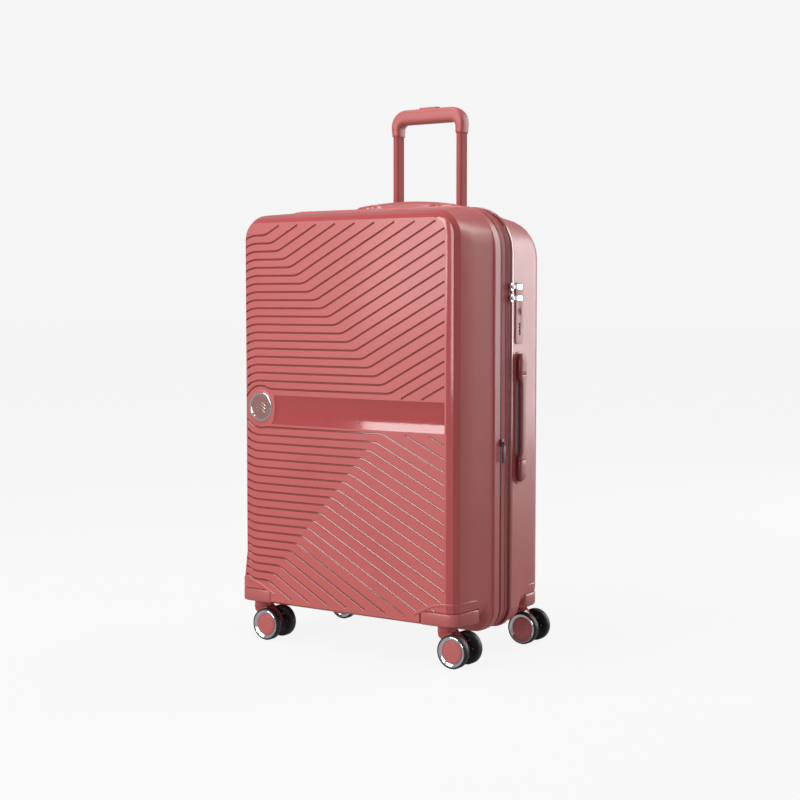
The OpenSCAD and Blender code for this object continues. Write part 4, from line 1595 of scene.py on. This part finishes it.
@dataclass
class Grip:
    """The trolley's grip, an arch with rounded corners."""

    crown: float = 0.9485
    under: float = 0.9215
    foot: float = 0.9005
    leg_in: float = 0.0606
    leg_out: float = 0.0768
    flare: float = 0.0012
    outer_r: float = 0.030
    inner_r: float = 0.009
    half_d: float = 0.014
    end_d: float = 0.0132
    end_lip: float = 0.0012
    bar_x: float = 0.024

    def section(self, outer: tuple[float, float], inner: tuple[float, float],
                half_d: float, y: float) -> Path:
        """Return one section between a point of the outer and one of the inner edge."""
        out = Vector((outer[0], y, outer[1]))
        inside = Vector((inner[0], y, inner[1]))
        return superellipse((out + inside) / 2, (out - inside) / 2, Vector((0, half_d, 0)), 3.6, 28)

    def build(self) -> None:
        """Build the grip round its tubes."""
        low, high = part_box("trolley_grip")
        y = (low.y + high.y) / 2
        wide = self.leg_out + self.flare
        corner = (wide - self.outer_r, self.crown - self.outer_r)
        nook = (self.leg_in - self.inner_r, self.under - self.inner_r)
        half: list[Path] = []
        for t, shrink in ((0.0, 0.0010), (0.0, 0.0), (0.25, 0.0), (0.55, 0.0), (0.8, 0.0)):
            z = self.foot + t * (corner[1] - self.foot)
            out = self.leg_out + self.flare * (3 * t * t - 2 * t * t * t)
            half.append(self.section((out - shrink, z), (self.leg_in + shrink, z),
                                     self.end_d + t * (self.half_d - self.end_d) - shrink, y))
        half[1] = [p + Vector((0, 0, self.end_lip)) for p in half[1]]
        for step in range(11):
            angle = math.radians(9 * step)
            c, s = math.cos(angle), math.sin(angle)
            half.append(self.section((corner[0] + self.outer_r * c, corner[1] + self.outer_r * s),
                                     (nook[0] + self.inner_r * c, nook[1] + self.inner_r * s),
                                     self.half_d, y))
        half.append(self.section((self.bar_x, self.crown), (self.bar_x, self.under), self.half_d, y))
        middle = [self.section((0.0, self.crown), (0.0, self.under), self.half_d, y)]
        mirrored = [[Vector((-p.x, p.y, p.z)) for p in ring] for ring in reversed(half)]
        grip = smooth(loft("grip_arch", half + middle + mirrored, Finish.GRIP), 50.0)
        finish_piece(grip, "trolley_top", Finish.GRIP, "trolley_grip")


@dataclass
class CarryHandle:
    """A pull-out carry handle: two arms and a thinner bar between them."""

    node: str
    base_node: str
    body: str
    y: float
    on_lid: bool = False
    # By default the flanks take the darkened handle colour, painted shade on the side handle's flanks.
    side_finish: Finish = Finish.HANDLE
    rise: float = 0.0
    base_l: float = 0.226
    base_w: float = 0.026
    foot: float = 0.0016
    crown: float = 0.0122
    arm_l: float = 0.046
    arm_w: float = 0.0125
    bar_w: float = 0.0085
    bar_t: float = 0.0075
    end_in: float = 0.0035
    post: tuple[float, float, float] = (0.011, 0.006, 0.010)
    post_into: float = 0.004
    pinch: float = 0.0005
    pinch_w: float = 0.0006
    near: float = 0.0003

    def place(self) -> Matrix:
        """Return the handle's frame: X out of the shell, Z along the handle."""
        return on_top(self.y) if self.on_lid else on_side(self.y, LAY.mid_z)

    def widths(self, along: float) -> tuple[float, float, float]:
        """Return the underside, the crown and the half width at a distance from the middle."""
        half = self.base_l / 2 - self.end_in
        arm_in = half - self.arm_l
        t = min(1.0, max(0.0, (along - arm_in + 0.006) / 0.012))
        ease = t * t * (3 - 2 * t)
        low = (self.crown - self.bar_t) * (1 - ease) + self.foot * ease
        wide = self.bar_w + (self.arm_w - self.bar_w) * ease
        end = max(0.0, along - (half - 0.012)) / 0.012
        round_end = math.sqrt(max(0.02, 1 - end * end))
        lift = self.rise * (1 - (along / half) ** 2)
        return low, self.crown + lift - 0.004 * end * end, wide * round_end

    def grip(self) -> bpy.types.Object:
        """Loft the arms and the bar, with a joint line where they meet."""
        half = self.base_l / 2 - self.end_in
        joint = half - self.arm_l + 0.009
        stops = [half, half - 0.0004, half - 0.0015, half - 0.003, half - 0.006, half - 0.010, half - 0.016,
                 half - 0.028, joint + 0.0012, joint + 0.0006, joint, joint - 0.0006, joint - 0.003,
                 joint - 0.006, joint - 0.009, joint - 0.012, joint - 0.016, 0.05, 0.036, 0.024, 0.012]
        rings = []
        for along in [-s for s in stops] + [0.0] + stops[::-1]:
            low, high, wide = self.widths(abs(along))
            past = abs(along) - joint
            pinched = abs(past) < self.near or abs(past - self.pinch_w) < self.near
            pinch = self.pinch if pinched else 0
            middle = Vector(((low + high) / 2, 0, along))
            rings.append(superellipse(middle, Vector(((high - low) / 2 - pinch, 0, 0)),
                                      Vector((0, wide - pinch, 0)), 3.4, 28))
        return smooth(loft("grip", rings, self.side_finish), 40.0)

    def build(self) -> None:
        """Build the handle and its base."""
        grip = self.grip()
        grip.data.materials.append(Finish.HANDLE_FACE.material)
        for face in grip.data.polygons:
            if face.normal.x > 0.8:
                face.material_index = 1
        deep, half_w, half_l = self.post
        z = self.base_l / 2 - self.arm_l / 2 - self.end_in
        posts = [block("post", Vector((-deep, -half_w, side * z - half_l)),
                       Vector((self.foot + self.post_into, half_w, side * z + half_l)), Finish.HANDLE)
                 for side in (-1, 1)]
        handle = join(f"{self.node}_moulded", [grip] + posts)
        finish_piece(seat(handle, self.place()), self.body, Finish.HANDLE, self.node)
        soften(self.base_node, Finish.PLATE, 0.0005, "rear_half")


SIDE_HANDLE = CarryHandle("side_handle", "side_handle_base", "side_grip", 0.042)
TOP_HANDLE = CarryHandle("top_handle", "top_handle_base", "top_grip", 0.053, on_lid=True,
                         side_finish=Finish.HANDLE_PALE, rise=0.009)


@dataclass
class Lock:
    """The dial lock: its plate, key cylinder, dials and the two zip pulls that it holds."""

    y: float = 0.042
    up: float = 0.178
    key_up: float = 0.003
    dial_teeth: int = 10
    hole: tuple[float, float] = (0.012, 0.049)

    def place(self) -> Matrix:
        """Return the lock's frame, with X out of the shell."""
        return on_side(self.y, LAY.mid_z + self.up)

    def key(self) -> None:
        """Build the key cylinder with its slot."""
        section = ((0.0, -9.0), (7.4, -9.0), (7.4, 1.3), (7.0, 1.6), (6.2, 1.6), (5.8, 1.1),
                   (4.6, 0.3), (0.0, 0.2))
        barrel = lathe("key_barrel", Vector((0, 0, 0)), section, 1, Finish.PLATE, 48)
        barrel.data.transform(Matrix.Rotation(-math.pi / 2, 4, "Z"))
        # The slot's walls take the dark dial finish: painted shade inside the keyhole.
        slot = block("slot", Vector((-0.004, -0.0013, -0.0034)), Vector((0.01, 0.0013, 0.0034)), Finish.DIAL)
        carve(barrel, [slot])
        seat(barrel, self.place() @ Matrix.Translation((0, 0, self.key_up)))
        finish_piece(barrel, "key", Finish.CHROME, "key_cylinder")

    def dials(self) -> None:
        """Build the three ridged dials, pale on top with dark flanks."""
        for index, letter in enumerate("abc", 1):
            node = f"dial_{index}"
            low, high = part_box(node)
            centre = (low + high) / 2
            radius = (high.y - low.y) / 2
            half_t = (high.z - low.z) / 2
            outline = []
            steps = self.dial_teeth * 4
            for step in range(steps):
                r = radius - (0.0004 if step % 4 == 0 else 0)
                angle = 2 * math.pi * step / steps
                outline.append(Vector((r * math.cos(angle), r * math.sin(angle), 0)))
            levels = ((-half_t, 0.93), (-half_t + 0.0006, 1), (half_t - 0.0006, 1), (half_t, 0.93))
            rings = [[centre + p * s + Vector((0, 0, z)) for p in outline] for z, s in levels]
            dial = loft(f"{node}_ridged", rings, Finish.MARK)
            dial.data.materials.append(Finish.DIAL.material)
            for face in dial.data.polygons:
                if abs(face.normal.z) > 0.3:
                    face.material_index = 1
            finish_piece(smooth(dial, 15.0), f"dial_{letter}", Finish.MARK, node)

    def pulls(self) -> None:
        """Round the sliders and the pulls."""
        for way in ("upper", "lower"):
            soften(f"zip_slider_{way}", Finish.CHROME, 0.0004, f"{way}_slider")
            soften(f"zip_pull_{way}", Finish.CHROME, 0.0003, f"{way}_pull")
        soften("expander_slider", Finish.DARK_ZIP, 0.0004, "expander_zip")
        soften("expander_pull", Finish.DARK_ZIP, 0.0003, "expander_tab")

    def build(self) -> None:
        """Build the lock."""
        soften("lock_plate", Finish.PLATE, 0.0004, "rear_half")
        self.key()
        self.dials()
        self.pulls()


LOCK = Lock()


@dataclass
class Badge:
    """The round badge at the belt's left end, with a plain chevron motif."""

    rim_r: float = 25.4
    out: float = 0.0018

    def build(self) -> None:
        """Build the badge on its moulded pad."""
        low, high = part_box("badge")
        middle = (low + high) / 2
        base = Vector((middle.x, LAY.face_y - LAY.crowned(middle.x, middle.z) + 0.0006, middle.z))
        r = self.rim_r
        ring = ((r - 3.4, 0.0), (r, 0.0), (r, 2.2), (r - 0.5, 2.8), (r - 1.6, 2.9), (r - 2.6, 2.3),
                (r - 3.4, 1.9))
        line = ((r - 5.2, 0.0), (r - 4.5, 0.0), (r - 4.5, 2.1), (r - 4.8, 2.3), (r - 5.2, 2.1))
        disc = ((0.0, 0.0), (r - 3.3, 0.0), (r - 3.3, 1.7), (0.0, 1.9))
        pad = ((0.0, -0.6), (r + 5.5, -0.6), (r + 4.6, 0.5), (r + 3.0, 1.1), (r + 1.0, 1.2), (0.0, 1.2))
        finish_piece(lathe("badge_pad", base, pad, -1, Finish.PANEL), "front_half", Finish.PANEL)
        finish_piece(lathe("badge_disc", base, disc, -1, Finish.BADGE), "front_half", Finish.BADGE)
        rings = [lathe("ring", base, section, -1, Finish.CHROME) for section in (ring, line)]
        face = base - Vector((0, 0.0019, 0))
        paths = [[face + Vector((x, 0, z + lift)) for x, z in ((-0.010, -0.004), (0, 0.004), (0.010, -0.004))]
                 for lift in (-0.006, 0.0, 0.006)]
        motif = BEAD.build("motif", paths, False, Finish.CHROME, Radius=0.0006, Sides=8)
        finish_piece(join("badge_chrome", rings + [motif]), "front_half", Finish.CHROME, "badge")


# --------------------------------------------------------------------- studio


@dataclass
class Studio:
    """The floor, the light and the camera."""

    camera_place: tuple[float, float, float] = (1.5923, -2.2772, 0.6052)
    azimuth: float = 34.606
    pitch: float = 3.694
    lens: float = 70.8
    sensor: float = 36.0
    floor_size: float = 60.0
    floor_seen: float = 0.885
    floor_light: float = 0.36
    ambient: float = 0.36

    def camera(self) -> None:
        """Set the camera."""
        data = bpy.data.cameras.new("camera")
        data.lens = self.lens
        data.sensor_width = self.sensor
        camera = bpy.data.objects.new("camera", data)
        camera.location = self.camera_place
        camera.rotation_euler = (math.radians(90 - self.pitch), 0, math.radians(self.azimuth))
        bpy.context.scene.collection.objects.link(camera)
        bpy.context.scene.camera = camera

    def floor(self) -> None:
        """Lay the floor."""
        half = self.floor_size / 2
        corners = [Vector((x * half, y * half, 0)) for x, y in ((-1, -1), (1, -1), (1, 1), (-1, 1))]
        mesh = bpy.data.meshes.new("floor")
        mesh.from_pydata([tuple(c) for c in corners], [], [(0, 1, 2, 3)])
        floor = bpy.data.objects.new("floor", mesh)
        bpy.context.scene.collection.objects.link(floor)
        graph = Graph("floor")
        seen = graph.add("ShaderNodeLightPath", output="Is Camera Ray")
        white = srgb(255, 255, 255)
        glow = graph.mix(seen, shade(white, self.floor_light), shade(white, self.floor_seen))
        speck = graph.noise(0.4, 2.0)
        graph.set(Base_Color=graph.mix(speck, srgb(66, 66, 66), srgb(70, 70, 70)), Roughness=0.9,
                  Specular_IOR_Level=0.0, Emission_Color=glow, Emission_Strength=1.0)
        mesh.materials.append(graph.material)

    def lamp(self, name: str, place: tuple[float, float, float], size: tuple[float, float],
             power: float, aim: tuple[float, float, float] = (0, 0, 0.4)) -> None:
        """Hang a soft area light.

        Args:
            name: The light's name.
            place: Where it hangs.
            size: Its width and height.
            power: Its power in watts.
            aim: The point that it faces.
        """
        data = bpy.data.lights.new(name, "AREA")
        data.shape = "RECTANGLE"
        data.size, data.size_y = size
        data.energy = power
        lamp = bpy.data.objects.new(name, data)
        lamp.location = place
        lamp.rotation_euler = (Vector(aim) - Vector(place)).to_track_quat("-Z", "Y").to_euler()
        lamp.visible_camera = False
        bpy.context.scene.collection.objects.link(lamp)

    def build(self) -> None:
        """Set up the whole studio."""
        scene = bpy.context.scene
        scene.view_settings.view_transform = "Standard"
        world = bpy.data.worlds.new("studio")
        world.use_nodes = True
        tree = world.node_tree
        seen, lit = (tree.nodes.new("ShaderNodeBackground") for _ in range(2))
        seen.inputs["Color"].default_value = srgb(245, 245, 245)
        lit.inputs["Color"].default_value = srgb(255, 255, 255)
        lit.inputs["Strength"].default_value = self.ambient
        ray = tree.nodes.new("ShaderNodeLightPath")
        choice = tree.nodes.new("ShaderNodeMixShader")
        tree.links.new(ray.outputs["Is Camera Ray"], choice.inputs[0])
        tree.links.new(lit.outputs[0], choice.inputs[1])
        tree.links.new(seen.outputs[0], choice.inputs[2])
        tree.links.new(choice.outputs[0], tree.nodes["World Output"].inputs["Surface"])
        scene.world = world
        self.camera()
        self.floor()
        self.lamp("key", (-1.45, -3.6, 1.6), (1.7, 2.2), 84)
        self.lamp("front_strip", (0.35, -4.0, 1.1), (0.8, 1.8), 20)
        self.lamp("rear_side", (1.3, 3.1, 1.25), (1.6, 2.5), 62)
        self.lamp("top", (-0.3, -0.6, 3.0), (1.6, 1.6), 42)
        LOG.info("studio ready")


DRESSING: dict[Finish, tuple[str, ...]] = {
    Finish.GLOSS: ("trolley_bezel",),
    Finish.GRIP: ("trolley_button",),
    Finish.STEEL: ("rear_screws", "front_screws", "front_left_axle", "front_right_axle", "rear_left_axle",
                   "rear_right_axle"),
    Finish.PLAIN_TUBE: ("trolley_outer_tubes",),
    Finish.ROSE_TUBE: ("trolley_middle_tubes", "trolley_inner_tubes"),
}
CORNERS = ("front_left", "front_right", "rear_left", "rear_right")


def main() -> None:
    """Build every sub-assembly in order."""
    logging.basicConfig(level=logging.INFO, format="%(name)s %(message)s")
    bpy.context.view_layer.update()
    Studio().build()
    for finish, nodes in DRESSING.items():
        dress(nodes, finish)
    parts = [FrontShell(), RearShell(), Lining(), ZipBand(), Housings(), Badge(), Grip(),
             SIDE_HANDLE, TOP_HANDLE, LOCK]
    parts += [Caster(corner) for corner in CORNERS]
    for part in parts:
        part.build()


if __name__ == "__main__":
    main()
